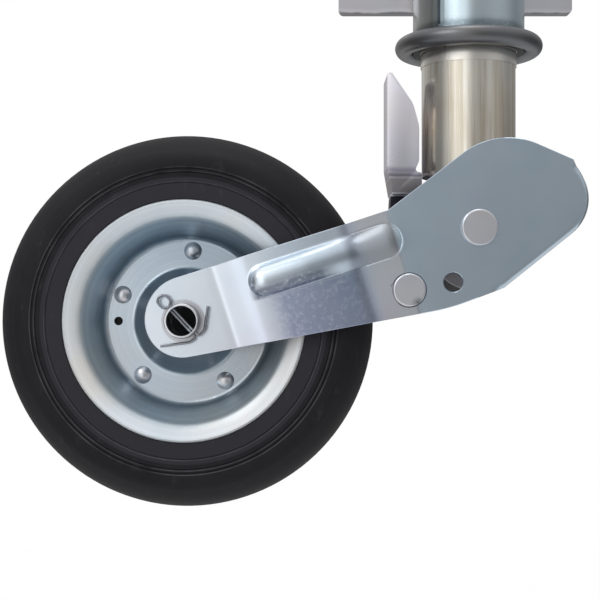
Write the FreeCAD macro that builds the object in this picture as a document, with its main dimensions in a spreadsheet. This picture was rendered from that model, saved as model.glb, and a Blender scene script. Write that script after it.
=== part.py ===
import FreeCAD, Part
import math
import os
import Sketcher
from FreeCAD import Placement, Rotation, Vector

# Trailer jockey wheel with a folding wheel fork, drawn in its folded position.
# The row frame has its origin at the centre of the flange plate's back face, +Y out of
# that face, +Z up the tubes and the wheel towards -X. Sizes are mm and degrees.
# Pieces are drawn about the tube axis and then set forward of the flange face.

doc = FreeCAD.newDocument("jockey_wheel")
sheet = doc.addObject("Spreadsheet::Sheet", "sizes")

SIZES = (
    ("outer_dia", 60, "outer tube, outside"),
    ("outer_wall", 3, "outer tube, wall"),
    ("outer_top", 319, "top end of the outer tube above the flange centre"),
    ("outer_bottom", -79, "bottom end of the outer tube"),
    ("inner_dia", 50.6, "inner tube, outside"),
    ("inner_wall", 3.2, "inner tube, wall"),
    ("inner_top", 235, "top end of the inner tube"),
    ("pivot_height", -176.1, "fork pivot, from the flange centre"),
    ("foot_height", 30, "bottom end of the inner tube above the pivot"),
    ("run_gap", 0.05, "radial running clearance of shafts and bushes"),
    ("side_gap", 0.4, "side clearance between swinging cheeks"),
    ("rib_angle", 234.3, "place of the pressed rib round the outer tube"),
    ("rib_width", 4, "outside width of the pressed rib's groove"),
    ("rib_depth", 1.5, "how deep the rib is pressed in"),
    ("rib_bottom", -69, "lower end of the pressed rib"),
    ("rib_top", 286, "upper end of the pressed rib"),
    ("ring_bar", 10, "collar ring, bar diameter"),
    ("ring_height", -75.8, "collar ring, height of its centre"),
    ("ring_flat", 0.3, "flat that seats the ring on the tube"),
    ("bush_bottom", -86.8, "guide bush, lower end"),
    ("bush_top", -70, "guide bush, upper end"),
    ("bush_lip", 0.5, "guide bush, wall of the lip that shows"),
    ("bush_split", 1.2, "guide bush, width of its split"),
    ("flange_thick", 6, "flange plate, thickness"),
    ("flange_width", 132, "flange plate, width"),
    ("flange_shift", -3.4, "flange plate, its middle to one side of the tube axis"),
    ("flange_tall", 100, "flange plate, height"),
    ("flange_round", 3, "flange plate, corner radius"),
    ("bolt_hole", 13, "flange bolt hole, diameter"),
    ("bolt_edge_side", 16, "flange bolt holes, from the side edges"),
    ("bolt_edge_end", 20, "flange bolt holes, from the top and bottom edges"),
    ("weld_leg", 8, "flange weld, width on the plate"),
    ("weld_length", 84, "flange weld, length"),
    ("cap_spigot", 12, "top cap, depth inside the tube"),
    ("cap_thick", 5, "top cap, thickness over the tube's end"),
    ("cap_boss_dia", 30, "top cap, diameter of the boss"),
    ("cap_boss_tall", 7, "top cap, height of the boss"),
    ("race_dia", 38, "thrust bearing, outside"),
    ("race_thick", 2.5, "thrust bearing, one race"),
    ("ball_dia", 6, "thrust bearing, ball"),
    ("ball_count", 12, "thrust bearing, balls"),
    ("ball_gap", 0.03, "clearance round a ball"),
    ("screw_dia", 20, "spindle, thread"),
    ("screw_bottom", -36, "spindle, lower end"),
    ("screw_neck_dia", 16, "spindle, neck through the cap"),
    ("screw_collar_tall", 6, "spindle, thrust collar"),
    ("stop_dia", 30, "stop ring on the spindle's end"),
    ("stop_tall", 5, "stop ring, height"),
    ("nut_tall", 24, "spindle nut, height in the tube"),
    ("nut_rim", 4, "spindle nut, thickness of its guide rim"),
    ("crank_gap", 2, "crank, height over the cap"),
    ("crank_hub_dia", 28, "crank, hub diameter"),
    ("crank_hub_tall", 22, "crank, hub height"),
    ("crank_bar", 9, "crank, arm thickness"),
    ("crank_throw", 150, "crank, from the spindle to the grip"),
    ("crank_eye_dia", 22, "crank, arm's end round the grip pin"),
    ("crank_waist_round", 24, "crank, hollow radius between hub, arm and eye"),
    ("cross_pin_dia", 6, "pin through the crank and the spindle"),
    ("grip_pin_dia", 10, "grip pin, shank"),
    ("grip_pin_head", 16, "grip pin, head"),
    ("grip_tall", 98, "grip, length"),
    ("grip_dia", 30, "grip, largest diameter"),
    ("fork_sheet", 4, "fork, sheet thickness"),
    ("head_half", 43, "fork head, outer face from the middle"),
    ("arm_half", 37, "fork arm, outer face from the middle"),
    ("end_half", 32, "fork at the axle, outer face from the middle"),
    ("arm_rise", 18, "slope of the arm that the bends are square to"),
    ("bend_head", 43.2, "first bend, from the pivot along the arm"),
    ("bend_arm", 62.9, "second bend"),
    ("bend_joggle", 36.3, "third bend, from the axle along the arm"),
    ("bend_end", 23.5, "fourth bend, from the axle along the arm"),
    ("bend_round", 3, "inside radius of the arm's bends"),
    ("tyre_front_gap", 51.9, "front of the tyre behind the pivot"),
    ("axle_drop", 47.7, "axle, below the pivot"),
    ("neck_back", 46.6, "hollow corner over the arm, behind the pivot"),
    ("neck_up", 8.8, "hollow corner over the arm, above the pivot"),
    ("neck_round", 6, "hollow corner over the arm, radius"),
    ("crown_front", 9.5, "crown of the head, ahead of the pivot"),
    ("crown_up", 51.6, "crown of the head, above the pivot"),
    ("crown_round", 38, "crown of the head, radius"),
    ("notch_front", 48, "notch in the head's edge, ahead of the pivot"),
    ("notch_up", 34.8, "notch in the head's edge, above the pivot"),
    ("notch_deep", 3.5, "notch in the head's edge, depth"),
    ("nose_front", 67.2, "nose corner before rounding, ahead of the pivot"),
    ("nose_up", 12.4, "nose corner before rounding, above the pivot"),
    ("nose_round", 22.6, "nose radius"),
    ("web_foot_front", 13.5, "lower end of the web, ahead of the pivot"),
    ("web_foot_down", 30.6, "lower end of the web, below the pivot"),
    ("belly_back", 15, "belly of the arm's lower edge, behind the pivot"),
    ("belly_down", 41.2, "belly of the arm's lower edge, below the pivot"),
    ("end_back", 20, "end of the arm behind the axle"),
    ("end_low", 22.9, "lower end corner below the axle"),
    ("end_high", 17.4, "upper end corner above the axle"),
    ("end_low_round", 19.4, "lower end corner, radius"),
    ("end_high_round", 22.8, "upper end corner, radius"),
    ("lip_wide", 10, "inward lip round the nose, width"),
    ("edge_bend", 5, "outside radius where the web and lips turn in"),
    ("bead_wide", 15.4, "stiffening bead, width"),
    ("bead_high", 5.5, "stiffening bead, height"),
    ("bead_offset", 8.4, "stiffening bead, above the pivot line"),
    ("bead_start", 37.7, "stiffening bead, far end from the axle along the arm"),
    ("bead_finish", 48, "stiffening bead, near end along the arm"),
    ("drain_dia", 10, "round hole in the head"),
    ("drain_back", 13.2, "round hole, behind the pivot"),
    ("drain_down", 27.9, "round hole, below the pivot"),
    ("pivot_dia", 16, "pivot pin, shank"),
    ("pivot_head_dia", 18.7, "pivot pin, riveted head"),
    ("pivot_head_tall", 2.2, "pivot pin, height of the head"),
    ("latch_back", 35.7, "latch pin, behind the pivot"),
    ("latch_down", 31.9, "latch pin, below the pivot"),
    ("latch_dia", 12, "latch pin, shank"),
    ("latch_head_dia", 17, "latch pin, riveted head"),
    ("latch_seat_deep", 2.6, "latch pin, how deep its head is seated in the cheek"),
    ("latch_head_tall", 4.2, "latch pin, height of the head"),
    ("cheek_sheet", 4, "pivot bracket, sheet thickness"),
    ("cheek_front", 20, "pivot bracket, front edge"),
    ("cheek_back", 18, "pivot bracket, back edge at the top"),
    ("cheek_round", 21.5, "pivot bracket, radius of the lower end"),
    ("cheek_end_back", 5, "pivot bracket, lower end's centre behind the pivot"),
    ("cheek_end_down", 10, "pivot bracket, lower end's centre below the pivot"),
    ("sleeve_dia", 21, "pivot sleeve, outside"),
    ("catch_back", 19.5, "catch bar, back face behind the pivot"),
    ("catch_deep", 10, "catch bar, front to back"),
    ("catch_up", 13.4, "catch bar, lower face above the pivot"),
    ("catch_chamfer", 2, "catch bar, chamfer"),
    ("lever_half", 15, "release lever, half width"),
    ("lever_sheet", 3.2, "release lever, wall of the leaf"),
    ("lever_back", 45, "release lever, back face behind the pivot"),
    ("lever_front", 28, "release lever, front edge behind the pivot"),
    ("lever_tip", 84.3, "release lever, tip above the pivot"),
    ("lever_tip_wide", 2.4, "release lever, width of the tip"),
    ("lever_shoulder", 68, "release lever, upper corner of the front edge above the pivot"),
    ("lever_cheek", 56, "release lever, lower corner of the front edge above the pivot"),
    ("block_top", 31.5, "latch block, top above the pivot"),
    ("block_bottom", 19.6, "latch block, bottom above the pivot"),
    ("block_front", 26.6, "latch block, front face behind the pivot"),
    ("lever_hub_dia", 21, "release lever, hub round the latch pin"),
    ("lever_stem_half", 9, "release lever, half width of the stem"),
    ("spring_wire", 2.4, "torsion spring, wire"),
    ("spring_dia", 17, "torsion spring, mean diameter"),
    ("spring_turns", 4, "torsion spring, turns"),
    ("spring_start", 17, "torsion spring, first turn from the middle"),
    ("spacer_wall", 2.5, "lever spacer, wall"),
    ("spacer_clear", 3.4, "lever spacer, clear of the cheek where it starts to bend in"),
    ("axle_dia", 18, "axle tube, outside"),
    ("axle_bore", 15.5, "axle, bore in each end"),
    ("axle_bore_deep", 30, "axle, depth of the bore in each end"),
    ("axle_half", 44, "axle tube, half length"),
    ("washer_dia", 22.3, "axle washer, outside"),
    ("washer_thick", 2, "axle washer, thickness"),
    ("hub_washer_dia", 27, "hub washer, outside"),
    ("pin_wire", 1.6, "split pin, one leg"),
    ("pin_half", 37.4, "split pin, from the middle"),
    ("pin_slope", 46.8, "split pin, slope down to the front"),
    ("pin_eye_reach", 18, "split pin, outer end of the eye from the axle"),
    ("pin_eye_half", 4, "split pin, half width of the eye before rounding"),
    ("pin_leg", 11.6, "split pin, length past the axle centre"),
    ("tyre_dia", 200, "tyre, outside"),
    ("tyre_half", 30, "tyre, half width"),
    ("crown_half", 13.1, "tyre, half width of the crown's arc"),
    ("crown_drop_share", 0.375, "tyre, drop from crown to shoulder, share of the sidewall"),
    ("shoulder_share", 0.27, "tyre, shoulder radius, share of the sidewall"),
    ("tyre_groove", 0.6, "tyre, depth of the moulded rings"),
    ("tyre_ring_in_share", 0.264, "tyre, inner moulded ring, share of the way up the sidewall"),
    ("tyre_ring_mid_share", 0.405, "tyre, middle moulded ring, share of the way up the sidewall"),
    ("tyre_ring_out_share", 0.46, "tyre, outer moulded ring, share of the way up the sidewall"),
    ("rim_sheet", 2.5, "wheel rim, sheet thickness"),
    ("rim_lip_share", 0.621, "wheel rim, lip radius, share of the tyre's radius"),
    ("rim_half", 31, "wheel rim, lip from the middle"),
    ("rim_throat_share", 0.538, "wheel rim, radius at the throat, share of the tyre's radius"),
    ("rim_throat_half", 26, "wheel rim, throat from the middle"),
    ("rim_flat_out_share", 0.449, "wheel rim, outer edge of the riveted flat, share of the tyre's radius"),
    ("rim_flat_in_share", 0.286, "wheel rim, inner edge of the riveted flat, share of the tyre's radius"),
    ("hub_collar", 16.9, "wheel rim, outer radius of the hub collar"),
    ("hub_dome", 19.5, "wheel rim, foot of the hub collar from the middle"),
    ("hub_half", 26, "wheel hub, half length"),
    ("hub_bush_wall", 2.4, "hub bush, wall"),
    ("rivet_pitch_share", 0.38, "rim rivets, pitch radius, share of the tyre's radius"),
    ("rivet_shank", 6, "rim rivet, shank"),
    ("rivet_head", 9.6, "rim rivet, head"),
    ("rivet_dome", 2.4, "rim rivet, head height"),
    ("rivet_count", 5, "rim rivets"),
    ("rivet_turn", 14, "rim rivets, first one's angle"),
    ("vent_dia", 4.3, "small hole in the rim"),
    ("vent_pitch_share", 0.376, "small hole in the rim, radius, share of the tyre's radius"),
)

for row, (alias, number, note) in enumerate(SIZES, start=1):
    sheet.set("A%d" % row, note)
    sheet.set("B%d" % row, str(number))
    sheet.setAlias("B%d" % row, alias)
doc.recompute()


class Size:
    """A number together with the sheet formula that gives it."""

    def __init__(self, value, text=None):
        self.value = float(value)
        self.text = text if text else "%.5f" % self.value

    def __float__(self):
        return self.value

    def __neg__(self):
        return Size(-self.value, "(0 - %s)" % self.text)

    def __add__(self, other):
        other = sized(other)
        return Size(self.value + other.value, "(%s + %s)" % (self.text, other.text))

    def __sub__(self, other):
        other = sized(other)
        return Size(self.value - other.value, "(%s - %s)" % (self.text, other.text))

    def __mul__(self, other):
        other = sized(other)
        return Size(self.value * other.value, "(%s * %s)" % (self.text, other.text))

    def __truediv__(self, other):
        other = sized(other)
        return Size(self.value / other.value, "(%s / %s)" % (self.text, other.text))

    __radd__ = __add__
    __rmul__ = __mul__

    def __rsub__(self, other):
        return sized(other) - self


def sized(number):
    return number if isinstance(number, Size) else Size(number)


def size(alias):
    return Size(sheet.get(alias), "sizes." + alias)


def bind(thing, **sizes):
    """Tie properties of an object to the sheet: Radius=..., Height=... and so on."""
    for name, amount in sizes.items():
        thing.setExpression(name, sized(amount).text)


def place(thing, x=0, y=0, z=0):
    for axis, amount in zip("xyz", (x, y, z)):
        thing.setExpression("Placement.Base." + axis, sized(amount).text)
    return thing


# Outlines: a corner is (x, y) or (x, y, radius), in the sketch's own plane.


def towards(start, end):
    dx = float(end[0]) - float(start[0])
    dy = float(end[1]) - float(start[1])
    length = math.hypot(dx, dy)
    return dx / length, dy / length


def rounded(corners, closed=True):
    """Points and arcs of an outline: each step is (start, end, radius or None)."""
    count = len(corners)
    ins, outs, radii = [], [], []
    for index, corner in enumerate(corners):
        x, y = sized(corner[0]), sized(corner[1])
        at_end = not closed and index in (0, count - 1)
        radius = sized(corner[2]) if len(corner) > 2 and not at_end else None
        radii.append(radius)
        if radius is None:
            ins.append((x, y))
            outs.append((x, y))
            continue
        back = towards(corner, corners[index - 1])
        ahead = towards(corner, corners[(index + 1) % count])
        between = math.acos(max(-1.0, min(1.0, back[0] * ahead[0] + back[1] * ahead[1])))
        reach = 1 / math.tan(between / 2)
        ins.append((x + radius * (back[0] * reach), y + radius * (back[1] * reach)))
        outs.append((x + radius * (ahead[0] * reach), y + radius * (ahead[1] * reach)))
    steps = []
    for index in range(count):
        if radii[index] is not None:
            steps.append((ins[index], outs[index], radii[index], corners[index]))
        if closed or index < count - 1:
            steps.append((outs[index], ins[(index + 1) % count], None, None))
    return [step for step in steps if math.hypot(
        float(step[0][0]) - float(step[1][0]), float(step[0][1]) - float(step[1][1])) > 1e-6]


def arc_middle(start, end, radius, corner):
    """The middle point of the arc that rounds a corner."""
    x = (float(start[0]) + float(end[0])) / 2
    y = (float(start[1]) + float(end[1])) / 2
    half = math.hypot(float(end[0]) - float(start[0]), float(end[1]) - float(start[1])) / 2
    rise = float(radius) - math.sqrt(max(float(radius) ** 2 - half ** 2, 0))
    ux, uy = towards((x, y), corner)
    return x + ux * rise, y + uy * rise


def draw(sketch, corners, closed=True):
    """Draw an outline in a sketch and tie each of its points and radii to the sheet."""
    steps = rounded(corners, closed)
    first = sketch.GeometryCount
    for start, end, radius, corner in steps:
        a = Vector(float(start[0]), float(start[1]), 0)
        b = Vector(float(end[0]), float(end[1]), 0)
        if radius is None:
            sketch.addGeometry(Part.LineSegment(a, b))
        else:
            mx, my = arc_middle(start, end, radius, corner)
            sketch.addGeometry(Part.Arc(a, Vector(mx, my, 0), b))
    joints = []
    for index, (start, end, radius, corner) in enumerate(steps):
        found = sketch.getPoint(first + index, 1)
        turned_round = math.hypot(found.x - float(start[0]), found.y - float(start[1])) > 1e-5
        joints.append((2, 1) if turned_round else (1, 2))
    for index, (start, end, radius, corner) in enumerate(steps):
        geometry = first + index
        begin, finish = joints[index]
        for kind, amount in (("DistanceX", start[0]), ("DistanceY", start[1])):
            tie(sketch, Sketcher.Constraint(kind, -1, 1, geometry, begin, float(amount)), amount)
        if radius is not None:
            tie(sketch, Sketcher.Constraint("Radius", geometry, float(radius)), radius)
        follower = (index + 1) % len(steps)
        if closed or index < len(steps) - 1:
            joined = Sketcher.Constraint(
                "Coincident", geometry, finish, first + follower, joints[follower][0])
            sketch.addConstraint(joined)
        else:
            for kind, amount in (("DistanceX", end[0]), ("DistanceY", end[1])):
                tie(sketch, Sketcher.Constraint(kind, -1, 1, geometry, finish, float(amount)), amount)


def draw_circle(sketch, x, y, radius):
    geometry = sketch.addGeometry(Part.Circle(
        Vector(float(x), float(y), 0), Vector(0, 0, 1), float(radius)))
    for kind, amount in (("DistanceX", x), ("DistanceY", y)):
        tie(sketch, Sketcher.Constraint(kind, -1, 1, geometry, 3, float(amount)), amount)
    tie(sketch, Sketcher.Constraint("Radius", geometry, float(radius)), radius)


def tie(sketch, constraint, amount):
    number = sketch.addConstraint(constraint)
    if isinstance(amount, Size):
        sketch.setExpression("Constraints[%d]" % number, amount.text)


def thickened(path, thickness):
    """A bent strip of sheet: the path and its parallel to the left, as one outline."""
    numbers = [(float(c[0]), float(c[1])) for c in path]
    other = []
    for index, corner in enumerate(path):
        before = towards(numbers[max(index - 1, 0)], numbers[max(index, 1)])
        after = towards(numbers[min(index, len(path) - 2)], numbers[min(index + 1, len(path) - 1)])
        bisector = (-(before[1] + after[1]), before[0] + after[0])
        scale = 2 / (bisector[0] ** 2 + bisector[1] ** 2)
        moved = [sized(corner[0]) + thickness * (bisector[0] * scale),
                 sized(corner[1]) + thickness * (bisector[1] * scale)]
        if len(corner) > 2:
            left_turn = before[0] * after[1] - before[1] * after[0] > 0
            inner = sized(corner[2]) - thickness if left_turn else sized(corner[2]) + thickness
            moved.append(inner)
        other.append(tuple(moved))
    return list(path), other


# Solids. Rods lie along Y, posts stand along Z, prisms are pushed along Y.


def post(name, radius, bottom, top, x=0, y=0):
    thing = doc.addObject("Part::Cylinder", name)
    bind(thing, Radius=radius, Height=sized(top) - bottom)
    return place(thing, x, y, bottom)


def rod(name, radius, near, far, x=0, z=0):
    thing = doc.addObject("Part::Cylinder", name)
    thing.Placement = Placement(Vector(), Rotation(Vector(1, 0, 0), -90))
    bind(thing, Radius=radius, Height=sized(far) - near)
    return place(thing, x, near, z)


def block(name, low, high):
    thing = doc.addObject("Part::Box", name)
    spans = [sized(b) - a for a, b in zip(low, high)]
    bind(thing, Length=spans[0], Width=spans[1], Height=spans[2])
    return place(thing, *low)


def cut(name, base, tool):
    thing = doc.addObject("Part::Cut", name)
    thing.Base, thing.Tool = base, tool
    return thing


def fuse(name, *pieces):
    thing = doc.addObject("Part::MultiFuse", name)
    thing.Shapes = list(pieces)
    thing.Refine = True
    return thing


def common(name, *pieces):
    thing = doc.addObject("Part::MultiCommon", name)
    thing.Shapes = list(pieces)
    return thing


def mirrored(name, source, normal=Vector(0, 1, 0)):
    thing = doc.addObject("Part::Mirroring", name)
    thing.Source, thing.Normal = source, normal
    return thing


def free_sketch(name, corners, turn, closed=True):
    thing = doc.addObject("Sketcher::SketchObject", name)
    thing.Placement = Placement(Vector(), turn)
    draw(thing, corners, closed)
    return thing


UPRIGHT = Rotation(Vector(1, 0, 0), 90)


def prism(name, corners, near, far):
    """An outline in X and Z, pushed from y = near to y = far."""
    outline = free_sketch(name + "_outline", corners, UPRIGHT)
    place(outline, 0, near, 0)
    thing = doc.addObject("Part::Extrusion", name)
    thing.Base, thing.DirMode, thing.Dir = outline, "Custom", Vector(0, 1, 0)
    thing.Solid = True
    bind(thing, LengthFwd=sized(far) - near)
    return thing


def body_sketch(body, name, role):
    sketch = body.newObject("Sketcher::SketchObject", name)
    plane = [item for item in body.Origin.OriginFeatures if item.Role == role][0]
    sketch.AttachmentSupport = (plane, [""])
    sketch.MapMode = "FlatFace"
    return sketch


def turned(name, corners, along="Z"):
    """A body turned about its own Z or Y axis from a profile of (radius, height)."""
    body = doc.addObject("PartDesign::Body", name)
    sketch = body_sketch(body, name + "_profile", "XZ_Plane" if along == "Z" else "XY_Plane")
    draw(sketch, corners)
    turn = body.newObject("PartDesign::Revolution", name + "_turn")
    turn.Profile = sketch
    turn.ReferenceAxis = (sketch, ["V_Axis"])
    turn.Angle = 360
    return body


def padded(name, corners, half, circles=()):
    """A body padded both ways from the middle plane, outline in X and Z."""
    body = doc.addObject("PartDesign::Body", name)
    sketch = body_sketch(body, name + "_outline", "XZ_Plane")
    draw(sketch, corners)
    for circle in circles:
        draw_circle(sketch, *circle)
    pad = body.newObject("PartDesign::Pad", name + "_pad")
    pad.Profile = sketch
    pad.SideType = "Symmetric"
    bind(pad, Length=sized(half) * 2)
    return body


SUBPARTS = []


def subpart(thing, label, x=0, z=0, y=0):
    """Name a finished piece and set it forward of the flange face."""
    thing.Label = label
    place(thing, x, sized(y) - standoff, z)
    SUBPARTS.append(thing)
    return thing


outer_r = size("outer_dia") / 2
outer_bore = outer_r - size("outer_wall")
inner_r = size("inner_dia") / 2
inner_bore = inner_r - size("inner_wall")
standoff = outer_r + size("flange_thick")
gap = size("run_gap")
pivot_z = size("pivot_height")
tyre_r = size("tyre_dia") / 2
axle_x = -size("tyre_front_gap") - tyre_r
axle_z = pivot_z - size("axle_drop")
latch_x = -size("latch_back")
latch_z = pivot_z - size("latch_down")
foot_z = pivot_z + size("foot_height")
head_in = size("head_half") - size("fork_sheet")
latch_seat = size("head_half") - size("latch_seat_deep")
rib_turn = math.radians(float(size("rib_angle")))


def radial_block(name, inner, outer, width, bottom, top):
    """A block that points out from the tube axis at the rib's angle."""
    thing = doc.addObject("Part::Box", name)
    thing.Placement = Placement(Vector(), Rotation(Vector(0, 0, 1), float(size("rib_angle"))))
    bind(thing, Length=sized(outer) - inner, Width=width, Height=sized(top) - bottom)
    c, s = math.cos(rib_turn), math.sin(rib_turn)
    half = sized(width) / 2
    return place(thing, sized(inner) * c + half * s, sized(inner) * s - half * c, bottom)


# Outer tube: a plain tube with a guide rib pressed in from outside.

tube = cut("outer_tube_plain",
           post("outer_tube_solid", outer_r, size("outer_bottom"), size("outer_top")),
           post("outer_tube_bore", outer_bore, size("outer_bottom") - 1, size("outer_top") + 1))
rib_wall = size("outer_wall") * 0.9
rib = radial_block("rib", outer_bore - size("rib_depth"), outer_bore + 1,
                   size("rib_width") + rib_wall, size("rib_bottom"), size("rib_top"))
groove = radial_block("groove", outer_r - size("rib_depth"), outer_r + 2,
                      size("rib_width"), size("rib_bottom") + 1, size("rib_top") - 1)
subpart(cut("outer_tube_pressed", fuse("outer_tube_ribbed", tube, rib), groove), "outer_tube")

# Collar ring: round bar bent to a ring round the tube's lower end.

ring = doc.addObject("Part::Torus", "ring_bar_bent")
bind(ring, Radius1=outer_r + size("ring_bar") / 2 - size("ring_flat"), Radius2=size("ring_bar") / 2)
place(ring, 0, 0, size("ring_height"))
ring_core = post("ring_core", outer_r, size("ring_height") - size("ring_bar"),
                 size("ring_height") + size("ring_bar"))
subpart(cut("collar_ring_cut", ring, ring_core), "collar_ring")

# Guide bush: a split bush in the tube's lower end, with a thin lip below the ring.

bush_in = inner_r + gap
bush = turned("bush_turned", [
    (bush_in, size("bush_bottom")), (bush_in + size("bush_lip"), size("bush_bottom")),
    (bush_in + size("bush_lip"), size("outer_bottom")), (outer_bore - gap, size("outer_bottom")),
    (outer_bore - gap, size("bush_top")), (bush_in, size("bush_top"))])
split = radial_block("bush_split_cut", inner_r - 1, outer_r, size("bush_split"),
                     size("bush_bottom") - 1, size("bush_top") + 1)
subpart(cut("bush_slit", bush, split), "guide_bush")

# Flange plate with four bolt holes, and the two welds that hold it to the tube.

half_wide = size("flange_width") / 2
half_tall = size("flange_tall") / 2
corner = size("flange_round")
flange = doc.addObject("PartDesign::Body", "flange")
flange_sketch = body_sketch(flange, "flange_outline", "XZ_Plane")
plate_left, plate_right = size("flange_shift") - half_wide, size("flange_shift") + half_wide
draw(flange_sketch, [(plate_left, -half_tall, corner), (plate_right, -half_tall, corner),
                     (plate_right, half_tall, corner), (plate_left, half_tall, corner)])
for side in (-1, 1):
    for end in (-1, 1):
        draw_circle(flange_sketch, size("flange_shift") + (half_wide - size("bolt_edge_side")) * side,
                    (half_tall - size("bolt_edge_end")) * end, size("bolt_hole") / 2)
flange_pad = flange.newObject("PartDesign::Pad", "flange_pad")
flange_pad.Profile = flange_sketch
bind(flange_pad, Length=size("flange_thick"))
subpart(flange, "flange_plate", y=standoff)

weld_start = outer_r * 0.4
weld_outline = [(weld_start, outer_r), (weld_start + size("weld_leg"), outer_r),
                (outer_r * 0.66, outer_r * 0.74)]
weld_sketch = free_sketch("weld_outline", weld_outline, Rotation())
place(weld_sketch, 0, 0, -size("weld_length") / 2)
weld = doc.addObject("Part::Extrusion", "weld_strip")
weld.Base, weld.DirMode, weld.Dir, weld.Solid = weld_sketch, "Custom", Vector(0, 0, 1), True
bind(weld, LengthFwd=size("weld_length"))
weld_core = post("weld_core", outer_r, -size("weld_length"), size("weld_length"))
weld_bead = cut("weld_bead", weld, weld_core)
welds = doc.addObject("Part::Compound", "weld_pair")
welds.Links = [weld_bead, mirrored("weld_other", weld_bead, Vector(1, 0, 0))]
subpart(welds, "flange_welds")

# Top cap, with the thrust bearing under it.

cap_low = size("outer_top") - size("cap_spigot")
cap_top = size("outer_top") + size("cap_thick")
boss_r = size("cap_boss_dia") / 2
neck_r = size("screw_neck_dia") / 2
subpart(turned("cap", [
    (neck_r + gap, cap_low), (outer_bore - gap, cap_low), (outer_bore - gap, size("outer_top")),
    (outer_r, size("outer_top")), (outer_r, cap_top, 2), (boss_r + 2, cap_top, 2),
    (boss_r, cap_top + size("cap_boss_tall"), 1.5), (neck_r + gap, cap_top + size("cap_boss_tall"))]),
    "top_cap")

race_r = size("race_dia") / 2
race = size("race_thick")
ball_r = size("ball_dia") / 2
balls_low = cap_low - race - size("ball_dia")
collar_top = balls_low - race


def race_ring(label, bottom):
    ring_body = turned(label + "_ring", [
        (neck_r + gap, bottom), (race_r, bottom, 0.6), (race_r, bottom + race, 0.6),
        (neck_r + gap, bottom + race)])
    return subpart(ring_body, label)


race_ring("bearing_upper_race", cap_low - race)
race_ring("bearing_lower_race", collar_top)
ball_pitch = (neck_r + race_r) / 2
balls = doc.addObject("Part::Compound", "ball_circle")
ball_list = []
for index in range(int(float(size("ball_count")))):
    turn = 2 * math.pi * index / float(size("ball_count"))
    ball = doc.addObject("Part::Sphere", "ball")
    bind(ball, Radius=ball_r - size("ball_gap"))
    place(ball, ball_pitch * math.cos(turn), ball_pitch * math.sin(turn), balls_low + ball_r)
    ball_list.append(ball)
balls.Links = ball_list
subpart(balls, "bearing_balls")

# Spindle with its thrust collar, stop ring, crank arm, cross pin and grip.

screw_r = size("screw_dia") / 2
collar_low = collar_top - size("screw_collar_tall")
hub_low = cap_top + size("cap_boss_tall") + size("crank_gap")
hub_top = hub_low + size("crank_hub_tall")
hub_mid = hub_low + size("crank_hub_tall") / 2
spindle = turned("spindle_turned", [
    (0, size("screw_bottom")), (screw_r - 1.5, size("screw_bottom")),
    (screw_r, size("screw_bottom") + 1.5), (screw_r, collar_low), (race_r, collar_low, 1),
    (race_r, collar_top, 1), (neck_r, collar_top), (neck_r, hub_top, 1.5), (0, hub_top)])
cross_r = size("cross_pin_dia") / 2
hub_r = size("crank_hub_dia") / 2
subpart(cut("spindle_drilled", spindle,
            rod("spindle_cross_hole", cross_r, -hub_r, hub_r, 0, hub_mid)), "spindle")

stop_low = size("screw_bottom") + 3
subpart(turned("stop", [
    (screw_r, stop_low), (size("stop_dia") / 2, stop_low, 1),
    (size("stop_dia") / 2, stop_low + size("stop_tall"), 1), (screw_r, stop_low + size("stop_tall"))]),
    "spindle_stop_ring")

throw = size("crank_throw")
eye_r = size("crank_eye_dia") / 2
bar_low = hub_mid - size("crank_bar") / 2
bar_top = hub_mid + size("crank_bar") / 2
waist = size("crank_waist_round")
arm_sketch = free_sketch("crank_outline", [
    (-hub_r, -hub_r, hub_r * 0.98), (hub_r, -hub_r, waist), (throw - 2 * eye_r, -eye_r, waist),
    (throw + eye_r, -eye_r, eye_r * 0.98), (throw + eye_r, eye_r, eye_r * 0.98),
    (throw - 2 * eye_r, eye_r, waist), (hub_r, hub_r, waist), (-hub_r, hub_r, hub_r * 0.98)],
    Rotation())
place(arm_sketch, 0, 0, bar_low)
bar = doc.addObject("Part::Extrusion", "crank_bar_pushed")
bar.Base, bar.DirMode, bar.Dir, bar.Solid = arm_sketch, "Custom", Vector(0, 0, 1), True
bind(bar, LengthFwd=size("crank_bar"))
crank_hub = turned("crank_hub", [
    (0, hub_low), (hub_r, hub_low, 1.5), (hub_r, hub_top, 3), (0, hub_top)])
crank_solid = fuse("crank_forged", bar, crank_hub)
crank_holes = fuse("crank_holes",
                   post("crank_bore", neck_r, hub_low - 1, hub_top + 1),
                   rod("crank_cross_hole", cross_r, -hub_r - 1, hub_r + 1, 0, hub_mid),
                   post("crank_pin_hole", size("grip_pin_dia") / 2, bar_low - 1, bar_top + 1, throw))
subpart(cut("crank_drilled", crank_solid, crank_holes), "crank_arm")
subpart(rod("cross_pin", cross_r, -hub_r - 1, hub_r + 1, 0, hub_mid), "crank_cross_pin",
        y=-hub_r - 1, z=hub_mid)

grip_low = bar_top + 1
grip_top = grip_low + size("grip_tall")
pin_r = size("grip_pin_dia") / 2
grip_head_r = size("grip_pin_head") / 2
head_low = grip_top - 8
subpart(turned("grip_pin_turned", [
    (0, bar_low - 3), (pin_r + 2, bar_low - 3, 1.5), (pin_r + 2, bar_low), (pin_r, bar_low),
    (pin_r, head_low + 0.3), (grip_head_r, head_low + 0.3), (grip_head_r, head_low + 3.5, 2),
    (0, head_low + 3.5)]), "grip_pin", x=throw)
grip_r = size("grip_dia") / 2
subpart(turned("grip_turned", [
    (pin_r + 0.1, grip_low), (grip_r - 1, grip_low, 3), (grip_r - 2.5, grip_low + 14, 30),
    (grip_r, grip_low + size("grip_tall") * 0.5, 60), (grip_r - 3.5, grip_top - 14, 20),
    (grip_r - 1, grip_top, 3.5), (grip_head_r + 0.5, grip_top, 1), (grip_head_r + 0.5, head_low),
    (pin_r + 0.1, head_low)]), "crank_grip", x=throw)

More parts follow.
